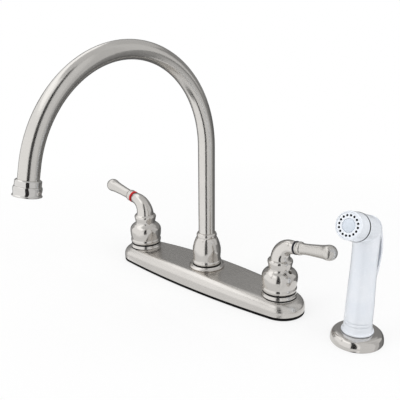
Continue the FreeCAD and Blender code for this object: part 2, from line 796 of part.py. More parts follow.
def aerator_housing():
    """Polished shell that screws on the collar and holds the insert against its lower ledge."""
    thread = collar_thread_radius + slip_gap
    outer = housing_radius
    return turned((thread, collar_end), [(collar_radius + 0.2, collar_end)],
                  [(outer - 0.15, collar_end + 1), (outer, collar_end + 2.8),
                   (housing_waist_radius, mouth - 2.9), (housing_waist_radius + 0.1, mouth - 1.8),
                   (housing_lip_radius, mouth - 1), (housing_lip_radius - 0.4, mouth)],
                  [(housing_mouth_radius + 0.7, mouth)], [(housing_mouth_radius, mouth - 0.7)],
                  [(housing_mouth_radius, ledge)], [(thread, ledge)])


def aerator_insert():
    """Plastic disc with two rings of jets."""
    disc = rod(insert_radius, insert_low, screen_low)
    jets = []
    for count, circle, radius in ((12, 6.8, 1.1), (6, 3.4, 1.0)):
        for k in range(count):
            angle = 2 * math.pi * k / count
            jet = rod(radius, insert_low, screen_low)
            jets.append(placed(jet, at(circle * math.cos(angle), circle * math.sin(angle))))
    return disc.cut(jets)


def aerator_screen():
    """Outlet grid: a disc pierced by square holes on a steady pitch."""
    disc = rod(insert_radius, screen_low, ledge)
    hole = screen_pitch - screen_bar
    reach = int((housing_mouth_radius - 0.3) / screen_pitch)
    holes = []
    for i in range(-reach, reach + 1):
        for j in range(-reach, reach + 1):
            farthest = math.hypot(abs(i) * screen_pitch + hole / 2, abs(j) * screen_pitch + hole / 2)
            if farthest < housing_mouth_radius:
                corner = V(i * screen_pitch - hole / 2, j * screen_pitch - hole / 2, screen_low)
                holes.append(Part.makeBox(hole, hole, screen_thickness, corner))
    return disc.cut(holes)


def save_aerator():
    """Write the aerator's five pieces on the spout's outlet."""
    pieces = {"aerator_collar": aerator_collar(), "aerator_housing": aerator_housing(),
              "aerator_washer": pipe(insert_radius, tube_bore, thread_end, insert_low),
              "aerator_insert": aerator_insert(), "aerator_screen": aerator_screen()}
    for name, piece in pieces.items():
        save(name, placed(piece, spout_frame()))


# ---- diverter ----

def diverter_body():
    """Cup in the spout's bore with side inlets, a port to the hose below and a bore for the piston."""
    floor_top = seat_floor_high + diverter_floor
    body = rod(diverter_radius, seat_floor_high, diverter_top)
    inlet = Part.makeCylinder(crossbar_bore - 1, 2 * diverter_radius,
                              V(-diverter_radius, 0, crossbar_height), V(1, 0, 0))
    return body.cut([rod(diverter_bore, floor_top, diverter_top),
                     rod(hose_nipple_bore, seat_floor_high, floor_top), inlet])


def diverter_piston():
    """Piston that lifts to send the water to the hose, with an open stem below."""
    low = seat_floor_high + diverter_floor
    stem = rod(piston_stem_radius, low, low + piston_stem_length)
    head = rod(piston_radius, low + piston_stem_length, low + piston_stem_length + piston_height)
    return stem.fuse(head).cut(rod(piston_stem_radius - 1.2, low, low + piston_stem_length + piston_height))


# ---- hand spray: what stays on the deck ----

def spray_flange():
    """Domed metal flange on the deck with a counterbore for the guide and the spray's foot."""
    rim = spray_flange_radius
    top = spray_flange_height
    bore = guide_radius + slip_gap
    well = guide_lip_radius + slip_gap * 2
    lip_low = spray_seat_height - guide_lip
    return turned((bore, 0), [(rim - 0.4, 0)], [(rim, 0.5)], [(rim, 2.6)],
                  [(rim - 0.4, 5.2), (rim - 1.4, 7.4), (rim - 3.3, 9.2), (rim - 5.6, top - 0.1)],
                  [(well + 0.5, top)], [(well, top - 0.4)], [(well, lip_low)], [(bore, lip_low)])


def spray_guide():
    """Plastic guide: a lip in the flange, a shank through the deck and a bare end below the nut."""
    groove_low = -guide_length + guide_end_length
    guide = rod(guide_lip_radius, spray_seat_height - guide_lip, spray_seat_height)
    guide = guide.fuse([rod(guide_radius, groove_low + 1, spray_seat_height - guide_lip),
                        rod(guide_groove_radius, groove_low, groove_low + 1),
                        rod(guide_radius, -guide_length, groove_low)])
    return guide.cut(rod(guide_bore, -guide_length, spray_seat_height))


# ---- hand spray: the piece that is lifted, drawn with the handle's axis on Z and the seat at 0 ----

def spray_frame():
    """Placement of the leaning spray on its seat."""
    return tipped(V(spray_offset, 0, spray_seat_height), -lean)


def head_frame():
    """Placement at the ball's centre, +Z running out through the spray's face."""
    return tipped(V(0, 0, ball_height), 90 - head_rise)


def trigger_body(inset, press):
    """Turned body behind the trigger: its outline drawn in by inset and by a press, in degrees.

    A press draws each height in by its distance below the pin times the tangent of the angle.
    """
    def drawn_in(radius, height):
        return radius - inset - (pin_height - height) * math.tan(math.radians(press))

    points = [(drawn_in(radius, ball_height - depth), ball_height - depth) for radius, depth in trigger_outline]
    crown = drawn_in(trigger_crown_radius, ball_height)
    points.append((crown, ball_height))
    half = math.sqrt(0.5) * crown
    return turned((0, trigger_low), [points[0]], points[1:],
                  [(half, ball_height + half), (0, ball_height + crown)])


def behind_neck(half_width, low, front, back_off):
    """Block behind the head's neck and a front plane, of the trigger's width, reaching down to a height."""
    reach = 2 * max(radius for radius, depth in trigger_outline)
    block = Part.makeBox(2 * half_width, reach - front, ball_height + reach - low, V(-half_width, front, low))
    ahead = Part.makeBox(2 * reach, 2 * reach, 2 * reach, V(-reach, -reach, -back_off))
    return block.cut(placed(ahead, head_frame()))


def lug(room):
    """Ear from the trigger's inside to round the pin, grown by room for the recess it swings in."""
    half_width = lug_half_width + room
    web = lug_web + room
    reach = trigger_crown_radius - (trigger_thickness - room) / 2
    out = math.degrees(math.atan2(pin_back, pin_above_ball))
    length = reach - math.hypot(pin_back, pin_above_ball)
    eye = Part.makeCylinder(lug_radius + room, 2 * half_width, V(-half_width, 0, 0), V(1, 0, 0))
    bar = Part.makeBox(2 * half_width, 2 * web, length, V(-half_width, -web, 0))
    return placed(eye.fuse(bar), tipped(V(0, pin_back, pin_height), -out))


def trigger():
    """Thumb lever curved round the back of the handle and over the elbow, hung from its pin."""
    shell = trigger_body(0, 0).cut(trigger_body(trigger_thickness, 0))
    shell = shell.common(behind_neck(trigger_half_width, trigger_low, 0, trigger_top_gap))
    nub = placed(rod(nub_radius, plunger_tip + run_gap, trigger_outline[-1][0]), valve_place())
    lever = shell.fuse([lug(0), nub])
    hole_half = pin_half_length + run_gap
    pin_hole = Part.makeCylinder(pin_radius + fit_gap, 2 * hole_half, V(-hole_half, pin_back, pin_height),
                                 V(1, 0, 0))
    return lever.cut(pin_hole)


def spray_handle_outer():
    """Outside of the handle: a turned grip, the elbow's ball and the head's neck with its spigot."""
    base = handle_base_radius
    waist = handle_waist_radius
    outline = [(base - inside, share * ball_height) for inside, share in grip_outline]
    neck_in = [(waist, share * ball_height) for share in grip_waist_shares]
    grip = turned((0, -foot_depth), [(base - 0.3, -foot_depth)], [(base, foot_band)],
                  outline + neck_in + [(elbow_ball_radius, ball_height)], [(0, ball_height)])
    ball = Part.makeSphere(elbow_ball_radius, V(0, 0, ball_height))
    neck_end = seam_reach - seam_ring_thickness / 2
    neck = turned((0, 0), [(elbow_ball_radius, 0)], [(head_neck_radius, neck_end)],
                  [(head_spigot_radius, neck_end)], [(head_spigot_radius, neck_end + head_spigot_length)],
                  [(0, neck_end + head_spigot_length)])
    outer = grip.fuse([ball, placed(neck, head_frame())])
    grooves = [pipe(base + 1, base - 0.7 - groove_depth, height - groove_width / 2, height + groove_width / 2)
               for height in groove_heights]
    return outer.cut(grooves)


def valve_place():
    """Placement on the plunger's axis, +Z running back towards the trigger."""
    return FreeCAD.Placement(V(0, 0, valve_height), FreeCAD.Rotation(V(1, 0, 0), -90))


def spray_handle():
    """White moulding: the outside less the trigger's pocket, the water bores and the valve chamber."""
    low = trigger_low
    swing = (pin_height - low) * math.tan(math.radians(trigger_travel))
    room = behind_neck(trigger_half_width + run_gap, low - trigger_foot_gap, -swing - trigger_room,
                       trigger_top_gap - trigger_room)
    core = trigger_body(trigger_thickness + trigger_room, trigger_travel)
    foot = rod(core.BoundBox.YMax, low - trigger_foot_gap, low).common(core.mirror(V(0, 0, low), UP))
    handle = spray_handle_outer().cut(room.cut([core, foot]))
    bores = [rod(handle_bore, 0, ball_height), valve_bore(),
             placed(rod(handle_bore, 0, head_reach), head_frame()),
             lug(trigger_room), trigger_pin()]
    handle = placed(handle.cut(bores), spray_frame())
    seat = spray_seat_height
    recess = placed(rod(coupling_spigot_radius + slip_gap, seat,
                        seat + coupling_spigot_length + coupling_washer_thickness), at(spray_offset))
    underside = placed(rod(2 * handle_base_radius, 0, seat), at(spray_offset))
    return handle.cut([recess, underside])


def valve_bore():
    """Chamber for the poppet, and the plunger's hole behind it."""
    return placed(rod(valve_chamber_radius, valve_front, valve_back)
                  .fuse(rod(plunger_radius + fit_gap, valve_back, plunger_tip + 5)), valve_place())


def plunger():
    """Poppet disc on a rod that the trigger pushes."""
    disc_back = valve_back - valve_seal_thickness
    disc = rod(plunger_disc_radius, disc_back - plunger_disc_thickness, disc_back)
    return placed(disc.fuse(rod(plunger_radius, disc_back, plunger_tip)), valve_place())


def valve_seal():
    """Rubber seat behind the poppet."""
    ring = pipe(valve_chamber_radius - slip_gap, plunger_radius + fit_gap, valve_back - valve_seal_thickness,
                valve_back)
    return placed(ring, valve_place())


def valve_spring():
    """Coil that presses the poppet shut, drawn at its length with the trigger pressed."""
    low = valve_front + spring_wire_radius + slip_gap / 2
    disc_front = valve_back - valve_seal_thickness - plunger_disc_thickness
    high = disc_front - plunger_travel - spring_wire_radius - slip_gap
    helix = Part.makeHelix((high - low) / spring_turns, high - low, spring_radius)
    section = Part.Wire(Part.Circle(V(spring_radius, 0, 0), V(0, 1, 0), spring_wire_radius).toShape())
    coil = Part.Wire(helix).makePipeShell([section], True, True)
    return placed(placed(coil, at(0, 0, low)), valve_place())


def nozzle_cup():
    """Round cup screwed on the handle's neck: slightly tapering outside, a rim round the face."""
    low = seam_reach + seam_ring_thickness / 2
    bore = head_spigot_radius + slip_gap
    inside = low + head_spigot_length
    seat = head_reach - cup_mouth_depth
    return turned((bore, low), [(head_neck_radius, low)],
                  [(head_neck_radius - 0.1, low + 5), (cup_rim_radius + 0.1, head_reach - 2.2),
                   (cup_rim_radius - 0.15, head_reach - 0.5), (cup_rim_radius - 0.8, head_reach)],
                  [(cup_mouth_radius, head_reach)], [(cup_mouth_radius, seat)], [(bore, seat)])


def seam_ring():
    """Dark ring between the handle's neck and the cup."""
    ring = pipe(head_neck_radius, head_spigot_radius + slip_gap, seam_reach - seam_ring_thickness / 2,
                seam_reach + seam_ring_thickness / 2)
    return ring


def spray_face():
    """Face disc with a ring of jets and a recess for the button."""
    seat = head_reach - cup_mouth_depth
    face = rod(cup_mouth_radius - slip_gap, seat, seat + face_thickness)
    jets = []
    for k in range(face_holes):
        angle = 2 * math.pi * k / face_holes
        jet = rod(face_hole_radius, seat, seat + face_thickness)
        jets.append(placed(jet, at(face_hole_circle * math.cos(angle), face_hole_circle * math.sin(angle))))
    return face.cut(jets + [rod(button_recess, seat + button_floor, seat + face_thickness)])


def face_button():
    """Shallow domed button in the middle of the face."""
    low = head_reach - cup_mouth_depth + button_floor
    edge = head_reach - button_dome
    sphere = (button_radius ** 2 + button_dome ** 2) / (2 * button_dome)
    half = edge + button_dome - sphere + math.sqrt(sphere ** 2 - (button_radius / 2) ** 2)
    return turned((0, low), [(button_radius, low)], [(button_radius, edge)],
                  [(button_radius / 2, half), (0, head_reach)])


def trigger_pin():
    """Steel pin across the elbow."""
    return Part.makeCylinder(pin_radius, 2 * pin_half_length, V(-pin_half_length, pin_back, pin_height),
                             V(1, 0, 0))


def hose_coupling():
    """Coupling screwed up into the handle's foot, with a ribbed end for the hose."""
    low = -coupling_length
    barb_top = low + barb_length
    body = rod(coupling_radius, barb_top, 0).fuse(rod(coupling_spigot_radius, 0, coupling_spigot_length))
    ribs = [rod(barb_radius - 0.8, low, barb_top)]
    for k in range(3):
        rib_low = low + k * barb_length / 3
        ribs.append(turned((0, rib_low), [(barb_radius - 0.8, rib_low)], [(barb_radius, rib_low + 2)],
                           [(0, rib_low + 2)]))
    return body.fuse(ribs).cut(rod(coupling_bore, low, coupling_spigot_length))


def save_spray():
    """Write the lifted spray's pieces: leaning ones by the handle, upright ones by the coupling."""
    head = spray_frame().multiply(head_frame())
    upright = at(spray_offset, 0, spray_seat_height)
    leaning = {"spray_trigger": trigger(), "trigger_pin": trigger_pin(), "spray_plunger": plunger(),
               "valve_seal": valve_seal(), "valve_spring": valve_spring()}
    facing = {"nozzle_cup": nozzle_cup(), "seam_ring": seam_ring(), "spray_face": spray_face(),
              "face_button": face_button()}
    washer = pipe(coupling_spigot_radius - slip_gap, handle_bore + 0.5, coupling_spigot_length,
                  coupling_spigot_length + coupling_washer_thickness)
    save("spray_handle", spray_handle())
    for name, piece in leaning.items():
        save(name, placed(piece, spray_frame()))
    for name, piece in facing.items():
        save(name, placed(piece, head))
    save("hose_coupling", placed(hose_coupling(), upright))
    save("coupling_washer", placed(washer, upright))


# ---- the whole faucet ----

os.makedirs("parts", exist_ok=True)

save("deck_gasket", deck_gasket())
save("cover_plate", cover_plate())
save("waterway", waterway())
hot_shank, cold_shank = at_both_valves(supply_shank())
save("hot_supply_shank", hot_shank)
save("cold_supply_shank", cold_shank)
save("mounting_washers", *at_both_valves(washer_for(shank_thread_radius, washer_radius)))
save("mounting_nuts", *at_both_valves(nut_for(shank_thread_radius, nut_radius)))
save("hose_nipple", hose_nipple())

hot_ring, cold_ring = at_both_valves(base_ring())
save("hot_base_ring", hot_ring)
save("cold_base_ring", cold_ring)
save("handle_glide_rings", *at_both_valves(pipe(glide_ring_radius, glide_ring_bore, base_ring_top, glide_ring_top)))
save("bonnet_nuts", *at_both_valves(bonnet_nut()))
save("cartridge_bodies", *at_both_valves(cartridge_body()))
save("seat_seals", *at_both_valves(pipe(cartridge_radius, passage_radius, seat_floor_high, disc_low)))
save("fixed_discs", *at_both_valves(placed(ported_disc(), at(0, 0, disc_low))))
save_handle("hot", hot_lever_turn, -valve_x)
save_handle("cold", cold_lever_turn, valve_x)

save("spout_flange", spout_flange())
save("spout_lock_ring", lock_ring())
save("spout_glide_ring", pipe(hub_ring_radius, hub_ring_bore, spout_flange_top, spout_flange_top + hub_ring_height))
save("spout_retaining_nut", retaining_nut())
save("spout_tube", spout_tube())
save("spout_hub", spout_hub())
save("spout_tail", spout_tail())
save("spout_orings", *[oring(height) for height in oring_heights])
save_aerator()
save("diverter_body", diverter_body())
save("diverter_piston", diverter_piston())

save("spray_flange", placed(spray_flange(), at(spray_offset)))
save("spray_guide", placed(spray_guide(), at(spray_offset)))
save("guide_washer", placed(washer_for(guide_radius, washer_radius + 2), at(spray_offset)))
save("guide_nut", placed(nut_for(guide_radius, nut_radius + 2), at(spray_offset)))
save_spray()
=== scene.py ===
"""A two-handle kitchen faucet in brushed nickel with a high swivel spout and a white hand spray."""
import json
from math import atan2, cos, radians, sin

import bmesh
import bpy
import numpy as np
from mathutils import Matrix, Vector


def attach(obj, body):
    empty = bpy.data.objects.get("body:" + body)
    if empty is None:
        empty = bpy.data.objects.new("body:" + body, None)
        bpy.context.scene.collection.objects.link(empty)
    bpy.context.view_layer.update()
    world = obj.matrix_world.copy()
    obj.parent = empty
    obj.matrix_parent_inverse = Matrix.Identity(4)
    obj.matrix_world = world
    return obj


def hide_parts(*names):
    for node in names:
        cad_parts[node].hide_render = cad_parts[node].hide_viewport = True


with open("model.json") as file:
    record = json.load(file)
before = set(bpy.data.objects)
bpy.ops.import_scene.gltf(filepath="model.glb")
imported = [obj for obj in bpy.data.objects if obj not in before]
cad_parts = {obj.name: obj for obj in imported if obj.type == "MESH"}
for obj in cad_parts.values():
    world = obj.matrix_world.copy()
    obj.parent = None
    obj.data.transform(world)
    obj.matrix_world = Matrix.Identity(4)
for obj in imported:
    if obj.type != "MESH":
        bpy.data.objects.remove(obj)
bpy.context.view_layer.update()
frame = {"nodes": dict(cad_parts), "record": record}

# ---- The camera ----
# It stands to the front right of the faucet, a little above the handles, at the photograph's angle.
view_azimuth, view_elevation = radians(41.16), radians(18.08)
away = Vector((sin(view_azimuth) * cos(view_elevation), -cos(view_azimuth) * cos(view_elevation),
               sin(view_elevation)))
lens = bpy.data.cameras.new("photo_lens")
lens.sensor_width = 36
lens.lens = 56.76
lens.shift_x, lens.shift_y = -0.0356, -0.0159
camera = bpy.data.objects.new("photo_camera", lens)
camera.location = (0.44281, -0.49370, 0.32283)
camera.rotation_euler = (-away).to_track_quat("-Z", "Y").to_euler()
bpy.context.scene.collection.objects.link(camera)
bpy.context.scene.camera = camera

# ---- The studio ----
# A white table top at the deck's level, a white surround, and soft lamps above. Grey and black cards, which
# only reflections see, stand where a photographer puts them: they draw the dark lines in the bright metal.
bpy.context.scene.view_settings.view_transform = "Standard"
pure_white = (1, 1, 1, 1)
studio_middle = Vector((0, 0, 0.1))


def feed(tree, socket, value):
    """Joins the socket to another node's output, or sets it to a plain value."""
    if isinstance(value, bpy.types.NodeSocket):
        tree.links.new(value, socket)
    else:
        socket.default_value = value


def add(tree, kind, **inputs):
    """A new node with each named input fed. An underscore in an input's name stands for a space."""
    node = tree.nodes.new("ShaderNode" + kind)
    for name, value in inputs.items():
        feed(tree, node.inputs[name.replace("_", " ")], value)
    return node


def maths(tree, operation, *values):
    """The result of one arithmetic node fed with the values in turn."""
    node = add(tree, "Math")
    node.operation = operation
    for socket, value in zip(node.inputs, values):
        feed(tree, socket, value)
    return node.outputs[0]


def white_where_seen(tree, plain, glow, surface, share=1.0):
    """Pure white for camera, mirror and glass rays, and the plain shader for the light that falls on things.
    The share is how much of the white those rays get, the rest being the plain shader."""
    path = add(tree, "LightPath")
    seen = path.outputs["Is Camera Ray"]
    for ray in ("Is Glossy Ray", "Is Transmission Ray"):
        seen = maths(tree, "MAXIMUM", seen, path.outputs[ray])
    white = add(tree, glow, Color=pure_white, Strength=1.0)
    both = add(tree, "MixShader", Fac=maths(tree, "MULTIPLY", seen, share))
    feed(tree, both.inputs[1], plain.outputs[0])
    feed(tree, both.inputs[2], white.outputs[0])
    feed(tree, surface, both.outputs[0])


surround = bpy.data.worlds.new("white_surround")
bpy.context.scene.world = surround
surround.use_nodes = True
tree = surround.node_tree
dim = tree.nodes["Background"]
dim.inputs["Color"].default_value = pure_white
dim.inputs["Strength"].default_value = 0.62
white_where_seen(tree, dim, "Background", tree.nodes["World Output"].inputs["Surface"])


def staged(name, points, faces):
    """A piece of the studio made of four-sided faces."""
    mesh = bpy.data.meshes.new(name)
    mesh.from_pydata(points, [], faces)
    sheet = bpy.data.objects.new(name, mesh)
    bpy.context.scene.collection.objects.link(sheet)
    return sheet


def flat_sheet(name, width, depth):
    """A flat rectangle of four corners, centred on its object."""
    w, d = width / 2, depth / 2
    return staged(name, [(-w, -d, 0), (w, -d, 0), (w, d, 0), (-w, d, 0)], [(0, 1, 2, 3)])


def new_finish(name):
    """A new material with its node tree and its surface shader."""
    made = bpy.data.materials.new(name)
    made.use_nodes = True
    return made, made.node_tree, made.node_tree.nodes["Principled BSDF"]


# Close to the faucet the table keeps some of its own shading, so the soft shadow shows. It fades to pure
# white by half a metre out, and lies a hair below the deck's level so that it doesn't meet the gasket.
table_width, table_level = 8, -0.0002
table = flat_sheet("table_top", table_width, table_width)
table.location.z = table_level
table.visible_glossy = False
paint, tree, matt = new_finish("table_paint")
matt.inputs["Base Color"].default_value = (0.93, 0.93, 0.93, 1)
matt.inputs["Roughness"].default_value = 0.9
reach = add(tree, "VectorMath")
reach.operation = "LENGTH"
feed(tree, reach.inputs[0], add(tree, "TexCoord").outputs["Object"])
fade = add(tree, "MapRange", Value=reach.outputs["Value"], From_Min=0.12, From_Max=0.55, To_Min=0.72,
           To_Max=1.0)
white_where_seen(tree, matt, "Emission", tree.nodes["Material Output"].inputs["Surface"],
                 fade.outputs["Result"])
table.data.materials.append(paint)


def toward(azimuth, elevation, distance):
    """A place seen from the faucet at an azimuth and elevation, in degrees, and a distance in metres."""
    a, e = radians(azimuth), radians(elevation)
    return Vector((sin(a) * cos(e), -cos(a) * cos(e), sin(e))) * distance + studio_middle


def lamp(name, azimuth, elevation, distance, size, radiance):
    """A square soft box that faces the faucet, as bright per area as the radiance given."""
    light = bpy.data.lights.new(name, "AREA")
    light.shape = "RECTANGLE"
    light.size = light.size_y = size
    light.energy = radiance * np.pi * size * size
    box = bpy.data.objects.new(name, light)
    box.location = toward(azimuth, elevation, distance)
    box.rotation_euler = (studio_middle - box.location).to_track_quat("-Z", "Y").to_euler()
    box.visible_glossy = False
    bpy.context.scene.collection.objects.link(box)


lamp("soft_box_left", -25, 40, 1.5, 0.9, 2.2)
lamp("soft_box_right", 85, 45, 1.6, 0.7, 1.5)
lamp("soft_box_above", 20, 82, 1.5, 1.0, 1.5)
lamp("soft_box_behind", 122, 18, 1.5, 0.8, 1.6)


def only_mirrored(sheet, shade):
    """The sheet glows at a plain shade of grey, where 1 is white, and only mirror reflections see it."""
    made, tree, shader = new_finish(sheet.name)
    tree.nodes.remove(shader)
    feed(tree, tree.nodes["Material Output"].inputs["Surface"], add(tree, "Emission", Strength=shade).outputs[0])
    sheet.data.materials.append(made)
    for ray in ("camera", "diffuse", "transmission", "shadow", "volume_scatter"):
        setattr(sheet, "visible_" + ray, False)


def panel(name, azimuths, elevations, shade, far=1.4):
    """A piece of a large sphere round the faucet between two azimuths and two elevations, in degrees. Only
    mirror reflections see it, and they see its plain shade of grey, where 1 is white."""
    count = 25
    a, e = np.meshgrid(np.radians(np.linspace(*azimuths, count)), np.radians(np.linspace(*elevations, count)))
    points = np.stack([np.sin(a) * np.cos(e), -np.cos(a) * np.cos(e), np.sin(e)], -1) * far + studio_middle
    i, j = np.meshgrid(np.arange(count - 1), np.arange(count - 1), indexing="ij")
    corner = i * count + j
    faces = np.stack([corner, corner + count, corner + count + 1, corner + 1], -1)
    only_mirrored(staged(name, points.reshape(-1, 3), faces.reshape(-1, 4)), shade)


# Three low cards stand in for the table, which mirrors don't see. They lighten the feet of the plate and of the
# spray's flange, and keep the brass below the deck out of the flange's side.
for name, width, depth, place, shade in (
        ("table_near_the_plate", 0.35, 0.053, (-0.025, -0.0565, 0.0003), 0.76),
        ("table_near_the_spray", 0.07, 0.014, (0.194, -0.032, 0.0003), 0.76),
        ("table_left_of_the_spray", 0.13, 0.10, (0.135, 0.022, -0.0006), 0.8)):
    near_table = flat_sheet(name, width, depth)
    near_table.location = place
    only_mirrored(near_table, shade)
# The large cards make a dim room with one black strip by the camera and one bright strip high on the left.
panel("black_strip", (25, 47), (-60, 66), 0.03, far=0.62)
panel("grey_wall_right", (50, 106), (-60, 66), 0.74)
panel("turning_wall_right", (106, 126), (-60, 66), 0.58)
panel("low_wall_right", (126, 152), (-60, 0), 0.24)
panel("high_wall_right", (126, 152), (0, 66), 0.66)
panel("low_wall_behind", (152, 258), (-60, 2), 0.14)
panel("wall_behind", (152, 258), (2, 34), 0.27)
panel("high_wall_behind", (152, 236), (34, 66), 0.55)
panel("low_wall_left", (258, 284), (-60, 26), 0.38)
panel("grey_roof", (0, 360), (66, 90), 0.62)
panel("dark_floor", (0, 360), (-90, -60), 0.16)
panel("bright_strip_left", (-120, 8), (42, 64), 1.3, far=1.35)

# ---- The cover plate ----
# A long oval shell drawn from steel sheet and plated in satin nickel, crowned along its length, with a round
# shoulder. It stands on the black gasket, and each handle's ring sits on a flat seat pressed into it.
mm = 0.001
hot_x, cold_x = -101.6, 101.6
plate_half_width, plate_side_radius = 30.5, 946.25
plate_end_x, plate_end_radius = 105.0, 24.5
plate_top, plate_crown_radius = 20.1, 1844.71
plate_wall, plate_shoulder, plate_foot_bevel = 2.0, 9.5, 0.35
end_points, side_points = 44, 60
gasket_top = 3.0
ring_seat_top = 16.8
valve_opening, spout_opening = 12.4, 14.2


def form(name, points, grain):
    """A closed-round skin through a grid of points in millimetres, rows by columns, the last column joined to
    the first. Rows that shrink to a point or a line are merged. The grain of the brushing is kept per point."""
    rows, columns = points.shape[:2]
    i, j = np.meshgrid(np.arange(rows - 1), np.arange(columns), indexing="ij")
    k = (j + 1) % columns
    faces = np.stack([i * columns + j, i * columns + k, (i + 1) * columns + k, (i + 1) * columns + j], -1)
    mesh = bpy.data.meshes.new(name)
    mesh.from_pydata(points.reshape(-1, 3) * mm, [], faces.reshape(-1, 4))
    layer = mesh.attributes.new("grain", "FLOAT_VECTOR", "POINT")
    layer.data.foreach_set("vector", np.ascontiguousarray(grain * mm, dtype=np.float32).ravel())
    joined(mesh, 1e-6)
    shaded(mesh)
    return placed(name, mesh)


def joined(mesh, reach):
    """Merges the points of the mesh that lie within reach of each other, in metres."""
    work = bmesh.new()
    work.from_mesh(mesh)
    bmesh.ops.remove_doubles(work, verts=work.verts, dist=reach)
    work.to_mesh(mesh)
    work.free()


def shaded(mesh, sharp=40):
    """Round faces shade smooth, and edges that turn by more than the angle, in degrees, stay sharp."""
    mesh.shade_smooth()
    mesh.set_sharp_from_angle(angle=radians(sharp))


def placed(name, mesh):
    """The mesh as a piece of the scene."""
    piece = bpy.data.objects.new(name, mesh)
    bpy.context.scene.collection.objects.link(piece)
    return piece


def stands_for(piece, body, finish, material, *nodes):
    """The piece moves with its body, takes its material, and hides the solids it shows. The finish is not used.
    """
    piece.data.materials.clear()
    piece.data.materials.append(material)
    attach(piece, body)
    if nodes:
        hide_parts(*nodes)


def crown(x):
    """Height of the plate's top: a circle of the crown's radius that peaks over the spout."""
    return plate_top - plate_crown_radius + np.sqrt(plate_crown_radius ** 2 - x ** 2)


def plate_plan(insets):
    """The oval's edge moved in by each inset: four arcs that meet smoothly, the point of each arc at its
    centre plus (radius - inset) times the direction it faces. Gives the rows of points, and for each column
    the place on the middle line that it closes on."""
    join = np.arccos(plate_end_x / (plate_side_radius - plate_end_radius))
    turns = np.concatenate([np.linspace(start, stop, count, endpoint=False) for start, stop, count in (
        (-join, join, end_points), (join, np.pi - join, side_points),
        (np.pi - join, np.pi + join, end_points), (np.pi + join, 2 * np.pi - join, side_points))])
    counts = (end_points, side_points, end_points, side_points)
    ends, sides = np.repeat((1.0, 0.0, -1.0, 0.0), counts), np.repeat((0.0, -1.0, 0.0, 1.0), counts)
    radius = np.where(ends != 0, plate_end_radius, plate_side_radius)
    centre = np.stack([ends * plate_end_x, sides * (plate_side_radius - plate_half_width)], -1)
    facing = np.stack([np.cos(turns), np.sin(turns)], -1)
    middle_x = np.where(ends != 0, ends * plate_end_x, (plate_side_radius - plate_end_radius) * np.cos(turns))
    plan = centre + (radius - np.asarray(insets, float)[:, None])[..., None] * facing
    return plan, np.stack([middle_x, np.zeros_like(middle_x)], -1)


def plate_rows(inset, rounding, low):
    """Grid of a crowned oval block, from its foot to the line along the middle of its top. A quarter circle
    joins side and top, and from there the rows close in straight steps on the middle line."""
    bend = np.linspace(0, np.pi / 2, 13)
    plan, middle = plate_plan(np.r_[plate_foot_bevel, 0.0, 0.0, 0.0, rounding * (1 - np.cos(bend))] + inset)
    spring_line = crown(plan[..., 0]) - inset - rounding
    z = spring_line + np.r_[0.0, 0.0, 0.0, 0.0, np.sin(bend) * rounding][:, None]
    z[0], z[1] = low, low + plate_foot_bevel
    z[2], z[3] = low + 0.5 * (spring_line[2] - low), low + 0.9 * (spring_line[3] - low)
    steps = np.array([0.08, 0.2, 0.35, 0.5, 0.65, 0.8, 0.92, 1.0])[:, None, None]
    top_plan = plan[-1] + steps * (middle - plan[-1])
    top_z = crown(top_plan[..., 0]) - inset
    return np.concatenate([np.dstack([plan, z]), np.dstack([top_plan, top_z])])


def run_length(points):
    """How far each row lies along the profile, adding up the distances from row to row."""
    steps = np.linalg.norm(np.diff(points, axis=0), axis=-1)
    return np.concatenate([np.zeros((1,) + steps.shape[1:]), np.cumsum(steps, axis=0)])


def two_tones(tree, level, start, stop, dark, light):
    """A blend of two colours as the level goes from start to stop."""
    ramp = add(tree, "ValToRGB", Fac=level)
    first, last = ramp.color_ramp.elements
    first.position, last.position = start, stop
    first.color, last.color = tuple(dark) + (1,), tuple(light) + (1,)
    return ramp.outputs["Color"]


def follows(tree, noise, low, high):
    """A value between low and high that follows a noise over its usual reach."""
    return add(tree, "MapRange", Value=noise, From_Min=0.3, From_Max=0.7, To_Min=low,
               To_Max=high).outputs["Result"]


def surfaced(tree, shader, tone, roughness, height, strength, depth):
    """Feeds a shader with a colour, a roughness and a relief of that height, strength and depth in metres."""
    feed(tree, shader.inputs["Base Color"], tone)
    feed(tree, shader.inputs["Roughness"], roughness)
    relief = add(tree, "Bump", Height=height, Strength=strength, Distance=depth)
    feed(tree, shader.inputs["Normal"], relief.outputs[0])


def brushed_metal(name, colour, polish, streaks, scratch=0.25, spread=0.06):
    """Plated metal with fine brush lines that follow the grain kept in the mesh: long along the first two
    numbers and close together along the third. The lines change the gloss and lift the surface a little, and
    broad soft clouds keep the plating from being one flat grey."""
    made, tree, shader = new_finish(name)
    shader.inputs["Metallic"].default_value = 1.0
    grain = add(tree, "Attribute")
    grain.attribute_name = "grain"
    stretched = add(tree, "Mapping", Vector=grain.outputs["Vector"], Scale=streaks).outputs[0]
    lines = add(tree, "TexNoise", Vector=stretched, Scale=1.0, Detail=4.0, Roughness=0.65).outputs["Fac"]
    place = add(tree, "TexCoord").outputs["Object"]
    clouds = add(tree, "TexNoise", Vector=place, Scale=38.0, Detail=3.0, Roughness=0.55).outputs["Fac"]
    level = maths(tree, "MULTIPLY_ADD", lines, 0.55, maths(tree, "MULTIPLY", clouds, 0.45))
    tone = two_tones(tree, level, 0.3, 0.7, (c * 0.93 for c in colour), (min(c * 1.05, 1) for c in colour))
    surfaced(tree, shader, tone, follows(tree, lines, polish - spread, polish + spread), lines, scratch, 0.00006)
    return made


